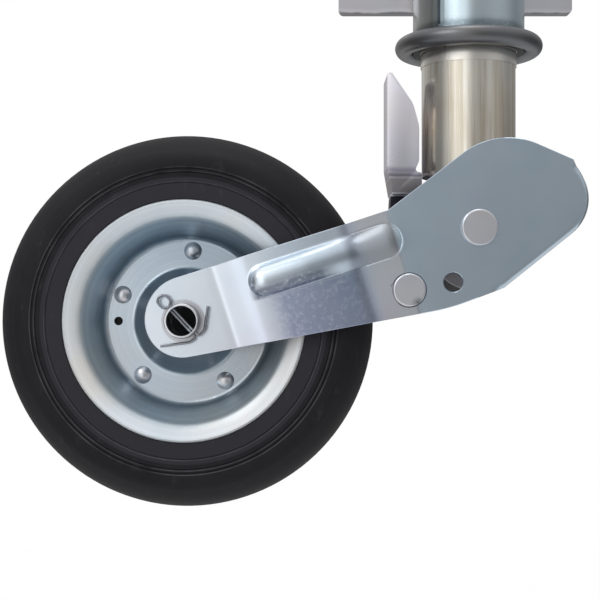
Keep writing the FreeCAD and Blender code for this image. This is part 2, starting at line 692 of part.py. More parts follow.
# Inner tube, its spindle nut, and the pivot bracket under its foot.

subpart(cut("inner_tube_cut", post("inner_tube_solid", inner_r, foot_z, size("inner_top")),
            post("inner_tube_bore", inner_bore, foot_z - 1, size("inner_top") + 1)), "inner_tube")
nut_top = size("inner_top") + size("nut_rim")
nut = turned("nut_turned", [
    (screw_r + gap, size("inner_top") - size("nut_tall")),
    (inner_bore, size("inner_top") - size("nut_tall"), 1.5), (inner_bore, size("inner_top")),
    (outer_bore - 4 * gap, size("inner_top")), (outer_bore - 4 * gap, nut_top, 1),
    (screw_r + gap, nut_top)])
nut_notch = radial_block("nut_notch", outer_bore - size("rib_depth") - 0.3, outer_r,
                         size("rib_width") + rib_wall + 1, size("inner_top") - 1, nut_top + 1)
subpart(cut("nut_notched", nut, nut_notch), "spindle_nut")

cheek_half = head_in - size("side_gap")
cheek_in = cheek_half - size("cheek_sheet")
cheek_left = -size("cheek_end_back") - size("cheek_round")
cheek_right = -size("cheek_end_back") + size("cheek_round")
cheek_low = pivot_z - size("cheek_end_down") - size("cheek_round")
cheek_turn = size("cheek_round") * 0.95
bracket_solid = prism("bracket_solid", [
    (-size("cheek_back"), foot_z), (size("cheek_front"), foot_z),
    (cheek_right, cheek_low, cheek_turn), (cheek_left, cheek_low, cheek_turn)],
    -cheek_half, cheek_half)
bracket_room = block("bracket_room", (cheek_left - 5, -cheek_in, cheek_low - 5),
                     (size("cheek_front") + 5, cheek_in, foot_z - size("cheek_sheet")))
bracket_u = cut("bracket_u", bracket_solid, bracket_room)
pivot_r = size("pivot_dia") / 2
subpart(cut("bracket_bored", bracket_u,
            rod("bracket_bore", pivot_r + gap, -cheek_half - 1, cheek_half + 1, 0, pivot_z)),
        "pivot_bracket")
sleeve_solid = rod("sleeve_solid", size("sleeve_dia") / 2, -cheek_in, cheek_in, 0, pivot_z)
subpart(cut("sleeve_bored", sleeve_solid,
            rod("sleeve_bore", pivot_r + gap, -cheek_in - 1, cheek_in + 1, 0, pivot_z)),
        "pivot_sleeve")
catch_left = -size("catch_back")
catch_right = catch_left + size("catch_deep")
catch_low = pivot_z + size("catch_up")
catch_top = foot_z - size("cheek_sheet")
chamfer = size("catch_chamfer")
subpart(padded("catch", [
    (catch_left, catch_top), (catch_right, catch_top), (catch_right, catch_low),
    (catch_left + chamfer, catch_low), (catch_left, catch_low + chamfer)], cheek_in), "catch_bar")

# Fork: one U pressing. Each cheek is a joggled strip trimmed to the side outline, with a
# bead pressed outward, and the cheeks join at the web and turn in at the nose as lips.

sheet_t = size("fork_sheet")
rise = float(size("arm_rise"))
head_y, arm_y, end_y = size("head_half"), size("arm_half"), size("end_half")
bend = size("bend_round")
along = (math.cos(math.radians(rise)), math.sin(math.radians(rise)))
axle_along = -axle_x * along[0] + size("axle_drop") * along[1]
joggle_along = axle_along - size("bend_joggle")
strip_path = [
    (size("nose_front") * 2, -head_y), (-size("bend_head"), -head_y, bend + sheet_t),
    (-size("bend_arm"), -arm_y, bend), (-joggle_along, -arm_y, bend + sheet_t),
    (size("bend_end") - axle_along, -end_y, bend), (-axle_along - size("nose_front"), -end_y)]
strip_out, strip_in = thickened(strip_path, -sheet_t)
strip_sketch = free_sketch("cheek_section", strip_out + strip_in[::-1], Rotation())
strip_wide = -axle_x + size("nose_front") * 2
place(strip_sketch, 0, 0, -strip_wide / 2)
strip_flat = doc.addObject("Part::Extrusion", "cheek_strip_level")
strip_flat.Base, strip_flat.DirMode, strip_flat.Dir = strip_sketch, "Custom", Vector(0, 0, 1)
strip_flat.Solid = True
bind(strip_flat, LengthFwd=strip_wide)

tilt = Rotation(Vector(0, 1, 0), -rise)
strip = doc.addObject("Part::Compound", "cheek_strip")
strip.Links = [strip_flat]
strip.Placement = Placement(Vector(), tilt)
place(strip, 0, 0, pivot_z)


notch_x = size("notch_front") + size("notch_deep") * 0.43
notch_up = size("notch_up") - size("notch_deep")
nose = (size("nose_front"), pivot_z + size("nose_up"), size("nose_round"))
web_foot = (size("web_foot_front"), pivot_z - size("web_foot_down"), 8)
end_x = axle_x - size("end_back")
outline = [
    (-size("neck_back"), pivot_z + size("neck_up"), size("neck_round")),
    (size("crown_front"), pivot_z + size("crown_up"), size("crown_round")),
    (size("notch_front"), pivot_z + size("notch_up"), 1.2),
    (notch_x, pivot_z + notch_up, 0.8), nose, web_foot,
    (-size("belly_back"), pivot_z - size("belly_down"), 100),
    (end_x, axle_z - size("end_low"), size("end_low_round")),
    (end_x, axle_z + size("end_high"), size("end_high_round"))]
trim = prism("cheek_trim", outline, -head_y - 5, 0)
cheek_plain = common("cheek_plain", strip, trim)

# The bead is a round-topped rib; its hollow is cut from the inside.

bead_w, bead_h = size("bead_wide"), size("bead_high")
bead_r = (bead_h * bead_h + bead_w * bead_w / 4) / (bead_h * 2)
bead_y = -arm_y - bead_h + bead_r


def bead_point(distance):
    """A point of the bead's line, at a distance from the pivot along the arm."""
    x = -distance * along[0] - size("bead_offset") * along[1]
    z = pivot_z - distance * along[1] + size("bead_offset") * along[0]
    return x, z


def capsule(name, radius, start, finish):
    """A round-ended rod along the bead's line."""
    x, z = bead_point(start)
    end_round = radius * 0.98
    run = turned(name, [(0, -radius), (radius, -radius, end_round),
                        (radius, start - finish + radius, end_round), (0, start - finish + radius)])
    run.Placement = Placement(Vector(), Rotation(Vector(0, 1, 0), 90 - rise))
    return place(run, x, bead_y, z)


bead_skin = bead_r - sheet_t * 0.8
bead_start = axle_along - size("bead_start") - bead_w / 2
bead_full = capsule("bead_full", bead_r, bead_start, size("bead_finish"))
bead_side = block("bead_side", (axle_x, -head_y - 5, axle_z), (0, -arm_y + sheet_t / 2, pivot_z + 50))
bead = common("bead", bead_full, bead_side)
bead_hollow = capsule("bead_hollow", bead_skin, bead_start, size("bead_finish") + 4)
cheek = cut("cheek_beaded", fuse("cheek_with_bead", cheek_plain, bead), bead_hollow)

# Web and lips: a band that follows the edge from the notch round the nose to the web's foot.

notch_point = (notch_x, pivot_z + notch_up)
band_out, band_in = thickened([notch_point, nose, web_foot[:2]], -sheet_t)
band = prism("edge_band", band_out + band_in[::-1], -head_y, head_y)
web_way = towards(nose, web_foot)
web_out = (-web_way[1], web_way[0])
reach = 1 / math.tan(math.acos(
    -(towards(notch_point, nose)[0] * web_way[0] + towards(notch_point, nose)[1] * web_way[1])) / 2)
web_top = (nose[0] + size("nose_round") * (web_way[0] * reach),
           nose[1] + size("nose_round") * (web_way[1] * reach))
lip_in = head_y - size("lip_wide")
window = prism("lip_window", [
    (web_top[0] + sheet_t * (2.5 * web_out[0]), web_top[1] + sheet_t * (2.5 * web_out[1])),
    (web_top[0] - sheet_t * (2.5 * web_out[0]), web_top[1] - sheet_t * (2.5 * web_out[1])),
    (size("nose_front") + 20, pivot_z - 10), (size("nose_front") + 20, pivot_z + 60),
    (size("crown_front") + 10, pivot_z + 60)], -lip_in, lip_in)
fork_plain = fuse("fork_plain", cheek, mirrored("cheek_far", cheek), cut("edge_turn", band, window))

hole_reach = head_y + 5
fork_holes = fuse(
    "fork_holes",
    rod("fork_pivot_hole", pivot_r, -hole_reach, hole_reach, 0, pivot_z),
    rod("fork_latch_hole", size("latch_dia") / 2, -hole_reach, hole_reach, latch_x, latch_z),
    rod("fork_drain_hole", size("drain_dia") / 2, -hole_reach, hole_reach,
        -size("drain_back"), pivot_z - size("drain_down")),
    rod("fork_axle_hole", size("axle_dia") / 2, -hole_reach, hole_reach, axle_x, axle_z),
    rod("fork_latch_seat_near", size("latch_head_dia") / 2, -hole_reach, -latch_seat,
        latch_x, latch_z),
    rod("fork_latch_seat_far", size("latch_head_dia") / 2, latch_seat, hole_reach,
        latch_x, latch_z))
fork = cut("fork_drilled", fork_plain, fork_holes)
doc.recompute()


# The pressing turns through a radius along the web and the nose: it is trimmed to an
# envelope whose edges there are rounded.

web_far = (web_foot[0] + web_way[0] * 80, web_foot[1] + web_way[1] * 80)
envelope = prism("bend_envelope", [
    notch_point, nose, web_far, (-300, web_far[1]), (-300, pivot_z + 120),
    (notch_x + 60, pivot_z + 120), (notch_x + 60, notch_point[1])], -head_y, head_y)
doc.recompute()


def along_bend(edge):
    """Whether an edge of the envelope runs along a head face beside the web or the nose."""
    start, end = edge.Vertexes[0].Point, edge.Vertexes[-1].Point
    if abs(start.y - end.y) > 0.01:
        return False
    left, right, top = float(web_far[0]), float(nose[0]), float(notch_point[1])
    return all(left - 0.01 < point.x < right and point.z < top + 0.01 for point in (start, end))


edge_bend = float(size("edge_bend"))
rounded_envelope = doc.addObject("Part::Fillet", "bend_envelope_rounded")
rounded_envelope.Base = envelope
rounded_envelope.Edges = [(number, edge_bend, edge_bend)
                          for number, edge in enumerate(envelope.Shape.Edges, start=1)
                          if along_bend(edge)]
subpart(common("fork_bent", fork, rounded_envelope), "fork")

# Pins of the fork. Heads are turned with the shank and riveted over.

head_r = size("pivot_head_dia") / 2
head_out = head_y + size("pivot_head_tall")
subpart(turned("pivot_pin_turned", [
    (0, -head_out), (head_r, -head_out, 1), (head_r, -head_y), (pivot_r, -head_y),
    (pivot_r, head_y), (head_r, head_y), (head_r, head_out, 1), (0, head_out)], "Y"),
    "pivot_pin", z=pivot_z)
latch_r = size("latch_dia") / 2
latch_head_r = size("latch_head_dia") / 2
seat_y, latch_out = latch_seat, latch_seat + size("latch_head_tall")
subpart(turned("latch_pin_turned", [
    (0, -latch_out), (latch_head_r, -latch_out, 1), (latch_head_r, -seat_y), (latch_r, -seat_y),
    (latch_r, seat_y), (latch_head_r, seat_y), (latch_head_r, latch_out, 1), (0, latch_out)], "Y"),
    "latch_pin", x=latch_x, z=latch_z)

# Axle tube, its washers and split pins.

axle_r = size("axle_dia") / 2
axle_end = size("axle_half")
wire = size("pin_wire")
pin_y = size("pin_half")
bore_r, bore_end = size("axle_bore") / 2, axle_end - size("axle_bore_deep")
axle_solid = turned("axle_turned", [
    (0, -bore_end), (bore_r, -bore_end - 3), (bore_r, -axle_end), (axle_r, -axle_end, 0.8),
    (axle_r, axle_end, 0.8), (bore_r, axle_end), (bore_r, bore_end + 3), (0, bore_end)], "Y")
pin_holes = []
for side in (-1, 1):
    hole = doc.addObject("Part::Cylinder", "axle_pin_hole")
    hole.Placement = Placement(Vector(), Rotation(Vector(0, 1, 0), 90 + float(size("pin_slope"))))
    bind(hole, Radius=wire + gap * 4, Height=axle_r * 4)
    slope = math.radians(float(size("pin_slope")))
    place(hole, -axle_r * (2 * math.cos(slope)), pin_y * side, axle_r * (2 * math.sin(slope)))
    pin_holes.append(hole)
subpart(cut("axle_drilled", axle_solid, fuse("axle_pin_holes", *pin_holes)), "axle_tube",
        x=axle_x, z=axle_z)


def ring_piece(label, inner, outer, near, far, x, z):
    solid = rod(label + "_solid", outer, near, far)
    piece = cut(label + "_cut", solid, rod(label + "_bore", inner, sized(near) - 1, sized(far) + 1))
    return subpart(piece, label, x=x, z=z)


washer_out = end_y + size("washer_thick")
ring_piece("axle_washer_near", axle_r + gap, size("washer_dia") / 2, -washer_out, -end_y, axle_x, axle_z)
ring_piece("axle_washer_far", axle_r + gap, size("washer_dia") / 2, end_y, washer_out, axle_x, axle_z)
end_in = end_y - sheet_t
hub_end = size("hub_half") + 4 * gap
ring_piece("hub_washer_near", axle_r + gap, size("hub_washer_dia") / 2, -end_in, -hub_end, axle_x, axle_z)
ring_piece("hub_washer_far", axle_r + gap, size("hub_washer_dia") / 2, hub_end, end_in, axle_x, axle_z)


def bent_wire(name, path, radius):
    """Round wire along a path in X and Z: rods joined by parts of rings at the bends."""
    pieces = []
    for start, end, bend_r, corner in rounded(path, closed=False):
        way = towards(start, corner or end)
        if bend_r is None:
            piece = doc.addObject("Part::Cylinder", name + "_rod")
            piece.Placement = Placement(Vector(), Rotation(Vector(0, 0, 1), Vector(way[0], 0, way[1])))
            length = math.hypot(float(end[0]) - float(start[0]), float(end[1]) - float(start[1]))
            bind(piece, Radius=radius, Height=length)
            pieces.append(place(piece, start[0], 0, start[1]))
            continue
        after = towards(corner, end)
        turn = way[0] * after[1] - way[1] * after[0]
        side = 1 if turn > 0 else -1
        inward = (-way[1] * side, way[0] * side)
        angle = math.degrees(math.acos(way[0] * after[0] + way[1] * after[1]))
        piece = doc.addObject("Part::Torus", name + "_bend")
        outward = Vector(-inward[0], 0, -inward[1])
        piece.Placement = Placement(Vector(), Rotation(
            outward, Vector(way[0], 0, way[1]), Vector(0, -side, 0), "ZXY"))
        piece.Angle3 = angle
        bind(piece, Radius1=bend_r, Radius2=radius)
        pieces.append(place(piece, start[0] + bend_r * inward[0], 0, start[1] + bend_r * inward[1]))
    return fuse(name, *pieces)


def split_pin(label, y):
    """A wire folded round an eye, both legs through the axle and bent back round it."""
    off = wire / 2 + gap
    leg, eye, eye_half = size("pin_leg"), size("pin_eye_reach"), size("pin_eye_half")
    neck = -eye + eye_half * 2
    path = [
        (leg * 0.3, leg * 1.28), (leg * 0.97, leg * 0.45, 3), (leg, off, 1.3), (neck, off, 1.3),
        (neck - eye_half * 0.6, eye_half, 2.4), (-eye, eye_half, 2.9), (-eye, -eye_half, 2.9),
        (neck - eye_half * 0.6, -eye_half, 2.4), (neck, -off, 1.3), (leg * 0.96, -off, 1.3),
        (leg * 0.92, -leg * 0.4, 3), (leg * 0.16, -leg * 1.47)]
    wire_bent = bent_wire(label + "_wire", path, wire / 2)
    wire_bent.Placement = Placement(Vector(), Rotation(Vector(0, 1, 0), float(size("pin_slope"))))
    return subpart(wire_bent, label, x=axle_x, z=axle_z, y=y)


split_pin("split_pin_near", -pin_y)
split_pin("split_pin_far", pin_y)

# Release lever: a channel-shaped leaf over a latch block, on a stem round the latch pin.

back, front = -size("lever_back"), -size("lever_front")
block_low = pivot_z + size("block_bottom")
block_high = pivot_z + size("block_top")
tip = pivot_z + size("lever_tip")
shoulder = pivot_z + size("lever_shoulder")
lever_cheek = pivot_z + size("lever_cheek")
tip_end = back + size("lever_tip_wide")
leaf = padded("leaf", [
    (back + 2.6, block_low, 1.5), (-size("block_front"), block_low, 1),
    (-size("block_front"), block_high, 1.5), (front - 2.6, block_high, 1.5), (front, block_high + 6, 5),
    (front, lever_cheek, 20), (front - 3.3, shoulder, 14), (tip_end, tip, 1.5),
    (back, tip, 1), (back, block_high + 3, 6)],
    size("lever_half"))
leaf_room = block("leaf_room",
                  (back + size("lever_sheet"), -size("lever_half") + size("lever_sheet"), block_high + 1.5),
                  (0, size("lever_half") - size("lever_sheet"), tip + 5))
lever_hub_r = size("lever_hub_dia") / 2
stem = prism("lever_stem", [
    (back + 2.6, block_low + 2), (latch_x - lever_hub_r + 0.5, latch_z), (latch_x + lever_hub_r - 0.5, latch_z),
    (-size("block_front") - 3, block_low + 2)], -size("lever_stem_half"), size("lever_stem_half"))
lever_hub = rod("lever_hub", lever_hub_r, -size("lever_half"), size("lever_half"), latch_x, latch_z)
lever_solid = fuse("lever_solid", cut("leaf_hollow", leaf, leaf_room), stem, lever_hub)
subpart(cut("lever_bored", lever_solid,
            rod("lever_bore", latch_r + gap, -size("lever_half") - 1, size("lever_half") + 1,
                latch_x, latch_z)), "release_lever")

# Torsion spring on the latch pin, and the spacer on the other side of the lever.

ring_piece("lever_spacer", latch_r + gap, latch_r + size("spacer_wall"), size("spacer_clear") - head_in,
           -size("lever_half") - size("side_gap"), latch_x, latch_z)
coil = doc.addObject("Part::Helix", "spring_line")
bind(coil, Pitch=size("spring_wire") * 1.25, Height=size("spring_wire") * 1.25 * size("spring_turns"),
     Radius=size("spring_dia") / 2)
coil_section = doc.addObject("Part::Circle", "spring_section")
bind(coil_section, Radius=size("spring_wire") / 2)
coil_section.Placement = Placement(Vector(), Rotation(Vector(1, 0, 0), 90))
place(coil_section, size("spring_dia") / 2, 0, 0)
coil.SegmentLength = 0.25
coil.recompute()
coil_edges = ["Edge%d" % (number + 1) for number in range(len(coil.Shape.Edges))]
spring = doc.addObject("Part::Sweep", "spring_swept")
spring.Sections, spring.Spine, spring.Solid, spring.Frenet = [coil_section], (coil, coil_edges), True, True
spring.Placement = Placement(Vector(), Rotation(Vector(1, 0, 0), -90))
subpart(spring, "lever_spring", x=latch_x, z=latch_z, y=size("spring_start"))

# Wheel: two pressed rim halves back to back, riveted, with a solid rubber tyre.

rim_t = size("rim_sheet")
rim_path = [
    (size("hub_collar"), size("hub_half") - 1), (size("hub_collar"), size("hub_dome"), 2),
    ((tyre_r * float(size("rim_flat_in_share"))), rim_t, 3), ((tyre_r * float(size("rim_flat_out_share"))), rim_t, 3),
    ((tyre_r * float(size("rim_throat_share"))), size("rim_throat_half"), 5), ((tyre_r * float(size("rim_lip_share"))), size("rim_half"))]
rim_show, rim_hide = thickened(rim_path, -rim_t)


def rivet_place(index):
    turn = math.radians(float(size("rivet_turn")) + 360 * index / float(size("rivet_count")))
    return (tyre_r * float(size("rivet_pitch_share"))) * math.cos(turn), (tyre_r * float(size("rivet_pitch_share"))) * math.sin(turn)


rivets = range(int(float(size("rivet_count"))))
rim_solid = turned("rim_turned", rim_show + rim_hide[::-1], "Y")
rim_holes = [rod("rivet_hole", size("rivet_shank") / 2, -rim_t - 1, rim_t + 1, *rivet_place(index))
             for index in rivets]
rim_far = cut("rim_far", rim_solid, fuse("rim_holes", *rim_holes))
rim_near = cut("rim_near", mirrored("rim_near_plain", rim_far),
               rod("vent_hole", size("vent_dia") / 2, -rim_t - 1, 1, -(tyre_r * float(size("vent_pitch_share"))), 0))
subpart(rim_near, "rim_half_near", x=axle_x, z=axle_z)
rim_far_piece = doc.addObject("Part::Compound", "rim_far_piece")
rim_far_piece.Links = [rim_far]
subpart(rim_far_piece, "rim_half_far", x=axle_x, z=axle_z)

rivet_r, dome = size("rivet_head") / 2, size("rivet_dome")
dome_r = (dome * dome + rivet_r * rivet_r) / (dome * 2)
dome_cut = math.degrees(math.asin(float((dome_r - dome) / dome_r)))
rivet_list = []
for index in rivets:
    x, z = rivet_place(index)
    parts = [rod("rivet_shank_part", size("rivet_shank") / 2, -rim_t, rim_t, x, z)]
    for side in (-1, 1):
        cap = doc.addObject("Part::Sphere", "rivet_dome_part")
        cap.Angle1 = dome_cut
        cap.Placement = Placement(Vector(), Rotation(Vector(1, 0, 0), -90 * side))
        bind(cap, Radius=dome_r)
        parts.append(place(cap, x, (rim_t - dome_r + dome) * side, z))
    rivet_list.append(fuse("rivet", *parts))
rivet_group = doc.addObject("Part::Compound", "rivet_group")
rivet_group.Links = rivet_list
subpart(rivet_group, "rim_rivets", x=axle_x, z=axle_z)

# The tyre's foot fills the rim from wall to wall; its sides carry three moulded rings.


def between(start, end, share):
    return (sized(start[0]) * (1 - share) + sized(end[0]) * share,
            sized(start[1]) * (1 - share) + sized(end[1]) * share)


wall_in, wall_out, lip_end = rim_hide[3], rim_hide[4], rim_hide[5]
foot_low = between(wall_in, wall_out, 0.3)
side_y, notch = size("tyre_half"), size("tyre_groove")
wall_tall = tyre_r - (tyre_r * float(size("rim_lip_share")))


def moulded_ring(radius, side):
    """A V groove in the sidewall at a radius."""
    return [(radius - notch, side), (radius, side - notch), (radius + notch, side)]


half_tyre = [foot_low, wall_out, lip_end, (lip_end[0] + 0.6, side_y)]
for alias in ("tyre_ring_in_share", "tyre_ring_mid_share", "tyre_ring_out_share"):
    half_tyre += moulded_ring((tyre_r * float(size("rim_lip_share"))) + wall_tall * size(alias), side_y)
crown_y, drop = size("crown_half"), wall_tall * size("crown_drop_share")
slope = math.atan(float(drop) / float(side_y - crown_y))
half_tyre += [(tyre_r - drop, side_y, wall_tall * size("shoulder_share")),
              (tyre_r, crown_y, crown_y * (0.999 / math.tan(slope / 2)))]
other_half = [(c[0], -sized(c[1])) + tuple(c[2:]) for c in half_tyre[::-1]]
subpart(turned("tyre_turned", half_tyre + other_half, "Y"), "tyre", x=axle_x, z=axle_z)

sleeve_r = size("hub_collar") - rim_t
bush_bore = axle_r + gap
bush_r = bush_bore + size("hub_bush_wall")
bush_end = size("hub_half") - 4
ring_piece("hub_sleeve", bush_r, sleeve_r, -bush_end, bush_end, axle_x, axle_z)
for side, label in ((-1, "hub_bush_near"), (1, "hub_bush_far")):
    bush_profile = [(bush_bore, 2), (bush_r, 2), (bush_r, bush_end), (sleeve_r, bush_end),
                    (sleeve_r, size("hub_half")), (bush_bore, size("hub_half"))]
    profile = [(radius, sized(height) * side) for radius, height in bush_profile]
    subpart(turned(label + "_turned", profile, "Y"), label, x=axle_x, z=axle_z)

doc.recompute()

failed = [thing.Name for thing in doc.Objects
          if "Invalid" in thing.State or "Error" in thing.State]
if failed:
    raise RuntimeError("these failed: %s" % ", ".join(failed))
for thing in SUBPARTS:
    if thing.Shape.isNull() or not thing.Shape.isValid():
        raise RuntimeError("%s has no valid shape" % thing.Label)

os.makedirs("parts", exist_ok=True)
for thing in SUBPARTS:
    thing.Shape.exportStep(os.path.join("parts", thing.Label + ".step"))
    print("%-20s %d solid(s) %10.1f mm3" % (thing.Label, len(thing.Shape.Solids), thing.Shape.Volume))
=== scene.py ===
# Looks for the trailer jockey wheel: zinc-plated steel, rubber and moulded plastic.
# The frame's axes: +Z up the tubes, +Y away from the camera, the wheel towards -X.
# Tables of shapes and measures are in mm, places in the scene in metres.
import itertools
import math

import bmesh
import bpy
import numpy as np
from mathutils import Matrix, Vector
from mathutils.geometry import delaunay_2d_cdt


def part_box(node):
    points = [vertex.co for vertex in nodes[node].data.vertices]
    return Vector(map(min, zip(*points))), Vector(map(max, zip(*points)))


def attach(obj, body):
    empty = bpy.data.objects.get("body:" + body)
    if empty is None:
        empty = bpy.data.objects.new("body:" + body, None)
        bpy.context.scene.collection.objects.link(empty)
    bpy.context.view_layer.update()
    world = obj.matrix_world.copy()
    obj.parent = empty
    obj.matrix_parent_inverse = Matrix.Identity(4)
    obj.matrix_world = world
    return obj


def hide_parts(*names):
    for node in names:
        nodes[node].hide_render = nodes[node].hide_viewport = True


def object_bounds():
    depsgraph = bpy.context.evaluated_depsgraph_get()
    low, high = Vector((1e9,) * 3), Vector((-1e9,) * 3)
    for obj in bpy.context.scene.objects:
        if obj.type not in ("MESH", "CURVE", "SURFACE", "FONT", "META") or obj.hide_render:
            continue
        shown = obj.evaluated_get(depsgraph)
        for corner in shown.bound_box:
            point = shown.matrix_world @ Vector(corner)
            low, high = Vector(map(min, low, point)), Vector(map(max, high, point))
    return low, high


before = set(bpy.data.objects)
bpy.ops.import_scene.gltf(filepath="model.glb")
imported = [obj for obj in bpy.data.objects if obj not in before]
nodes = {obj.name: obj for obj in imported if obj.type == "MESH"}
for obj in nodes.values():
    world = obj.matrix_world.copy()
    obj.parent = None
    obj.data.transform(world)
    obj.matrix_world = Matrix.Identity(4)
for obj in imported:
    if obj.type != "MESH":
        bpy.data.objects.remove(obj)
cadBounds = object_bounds()
scene = bpy.context.scene
mm = 0.001
print("frame loaded with", len(nodes), "nodes")


def middleOf(node):
    low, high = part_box(node)
    return (np.array(low) + np.array(high)) / 2


tubeAxis = middleOf("inner_tube")
pivotAt = middleOf("pivot_pin")
axleAt = middleOf("axle_tube")

# Camera: level with the axle, square to the wheel's side, as the photograph was taken.

cameraSetup = {
    "distance": 0.700,        # from the tube's axis plane
    "left": 0.0914,           # of the tube's axis
    "scale": 0.5427e-3,       # metres a pixel at the axis plane
    "frame": 600,             # pixels
    "horizonPixel": 321,      # the row that the axle's height falls on
    "sensor": 36,             # mm
    "clip": (0.02, 30),
}


def addCamera(setup):
    data = bpy.data.cameras.new("camera")
    data.sensor_width = setup["sensor"]
    data.lens = setup["sensor"] * setup["distance"] / (setup["scale"] * setup["frame"])
    data.shift_y = (setup["horizonPixel"] - setup["frame"] / 2) / setup["frame"]
    data.clip_start, data.clip_end = setup["clip"]
    camera = bpy.data.objects.new("camera", data)
    camera.location = (tubeAxis[0] - setup["left"], tubeAxis[1] - setup["distance"], axleAt[2])
    camera.rotation_euler = (math.radians(90), 0, 0)
    scene.collection.objects.link(camera)
    scene.camera = camera


addCamera(cameraSetup)
print("camera set")

# Shader maths: a wrapped socket adds its own nodes as an expression is worked out.


class Link:
    def __init__(self, shader, socket):
        self.shader, self.socket = shader, socket

    def maths(self, operation, *others, swap=False):
        inputs = (self,) + others
        inputs = inputs[::-1] if swap else inputs
        settings = {"operation": operation}
        return self.shader.node("ShaderNodeMath", settings, dict(enumerate(inputs)))

    def __add__(self, other):
        return self.maths("ADD", other)

    def __sub__(self, other):
        return self.maths("SUBTRACT", other)

    def __rsub__(self, other):
        return self.maths("SUBTRACT", other, swap=True)

    def __mul__(self, other):
        return self.maths("MULTIPLY", other)

    def __truediv__(self, other):
        return self.maths("DIVIDE", other)

    __radd__ = __add__
    __rmul__ = __mul__

    def clamped(self):
        return self.maths("MAXIMUM", 0.0).maths("MINIMUM", 1.0)

    def risen(self, start, gain):
        # 0 up to the start, then rising by the gain a unit, up to 1
        return ((self - start) * gain).clamped()


class Shader:
    def __init__(self, name, world=None):
        self.owner = world or bpy.data.materials.new(name)
        self.owner.use_nodes = True
        self.tree = self.owner.node_tree
        self.tree.nodes.clear()

    def node(self, kind, settings=None, inputs=None, output=0):
        made = self.tree.nodes.new(kind)
        for key, value in (settings or {}).items():
            if key == "stops":
                fillRamp(made.color_ramp, value)
            else:
                setattr(made, key, value)
        for key, value in (inputs or {}).items():
            socket = made.inputs[key]
            if isinstance(value, Link):
                self.tree.links.new(value.socket, socket)
            else:
                socket.default_value = value
        return Link(self, made.outputs[output])

    def place(self, scale=(1, 1, 1), turn=(0, 0, 0), shift=(0, 0, 0)):
        spot = self.node("ShaderNodeTexCoord", output="Object")
        inputs = {"Vector": spot, "Scale": scale, "Rotation": turn, "Location": shift}
        return self.node("ShaderNodeMapping", {}, inputs)

    def noise(self, kind):
        scale, detail, rough, stretch, slant = noises[kind]
        where = self.place(stretch, (0, math.radians(slant), 0))
        inputs = {"Vector": where, "Scale": scale, "Detail": detail, "Roughness": rough}
        return self.node("ShaderNodeTexNoise", {}, inputs)

    def parts(self, vector):
        return [self.node("ShaderNodeSeparateXYZ", {}, {"Vector": vector}, output=index)
                for index in range(3)]

    def measure(self, kind, centre):
        # In mm: distance from a line along Y ("wheel") or Z ("tube") through a centre, height
        # above it, distance along the arm ("arm") or across it ("beside"). In degrees: the turn
        # round Z from the centre's -Y side ("round").
        rise = math.radians(forkShape["rise"]) if kind in ("arm", "beside") else 0
        turned = Matrix.Rotation(rise, 3, "Y") @ Vector(centre)
        spot = self.place(turn=(0, rise, 0), shift=tuple(-turned))
        x, y, z = (part * (1 / mm) for part in self.parts(spot))
        if kind == "wheel":
            return (x * x + z * z).maths("SQRT")
        if kind == "tube":
            return (x * x + y * y).maths("SQRT")
        if kind == "round":
            return x.maths("ARCTAN2", y * -1) * (180 / math.pi)
        return z if kind in ("height", "beside") else x * -1

    def across(self, measured, rows, column):
        # a column of a table whose rows start with a place on the measure
        low, high = rows[0][0], rows[-1][0]
        stops = [((row[0] - low) / (high - low),
                  rgb(row[column]) if isinstance(row[column], str) else (row[column],) * 3)
                 for row in rows]
        return self.ramp((measured - low) / (high - low), stops)

    def ramp(self, value, stops):
        return self.node("ShaderNodeValToRGB", {"stops": stops}, {"Fac": value})

    def blend(self, factor, first, second, way="MIX"):
        return self.node("ShaderNodeMix", {"data_type": "RGBA", "blend_type": way},
                         {"Factor": factor, 6: first, 7: second}, output=2)

    def tinted(self, factor, colour, tint):
        return self.blend(factor, colour, self.blend(1.0, colour, rgba(tint), "MULTIPLY"))

    def bump(self, height, strength, distance):
        inputs = {"Height": height, "Strength": strength, "Distance": distance}
        return self.node("ShaderNodeBump", {}, inputs)

    def surface(self, **inputs):
        named = {key.replace("_", " "): value for key, value in inputs.items()}
        self.close(self.node("ShaderNodeBsdfPrincipled", {}, named))
        return self.owner

    def close(self, body, kind="ShaderNodeOutputMaterial"):
        end = self.tree.nodes.new(kind)
        self.tree.links.new(body.socket, end.inputs["Surface"])


def fillRamp(ramp, stops):
    while len(ramp.elements) < len(stops):
        ramp.elements.new(0.5)
    for element, (spot, colour) in zip(ramp.elements, stops):
        element.position = spot
        element.color = (*colour, 1) if len(colour) == 3 else colour


def rgb(hexCode, gain=1):
    # written as screen colour, turned to linear
    parts = [int(hexCode[i:i + 2], 16) / 255 for i in (1, 3, 5)]
    return tuple(gain * (p / 12.92 if p <= 0.04045 else ((p + 0.055) / 1.055) ** 2.4)
                 for p in parts)


def rgba(hexCode):
    return (*rgb(hexCode), 1)


# Fork: one pressing of 4 mm sheet. A cheek's outer face is a height over its side view,
# level(x, z): flats joined by soft bends, a bead raised on them, and a rounded turn into web
# and lips. Every place is from the pivot; an outline's corner is x, z and its radius.

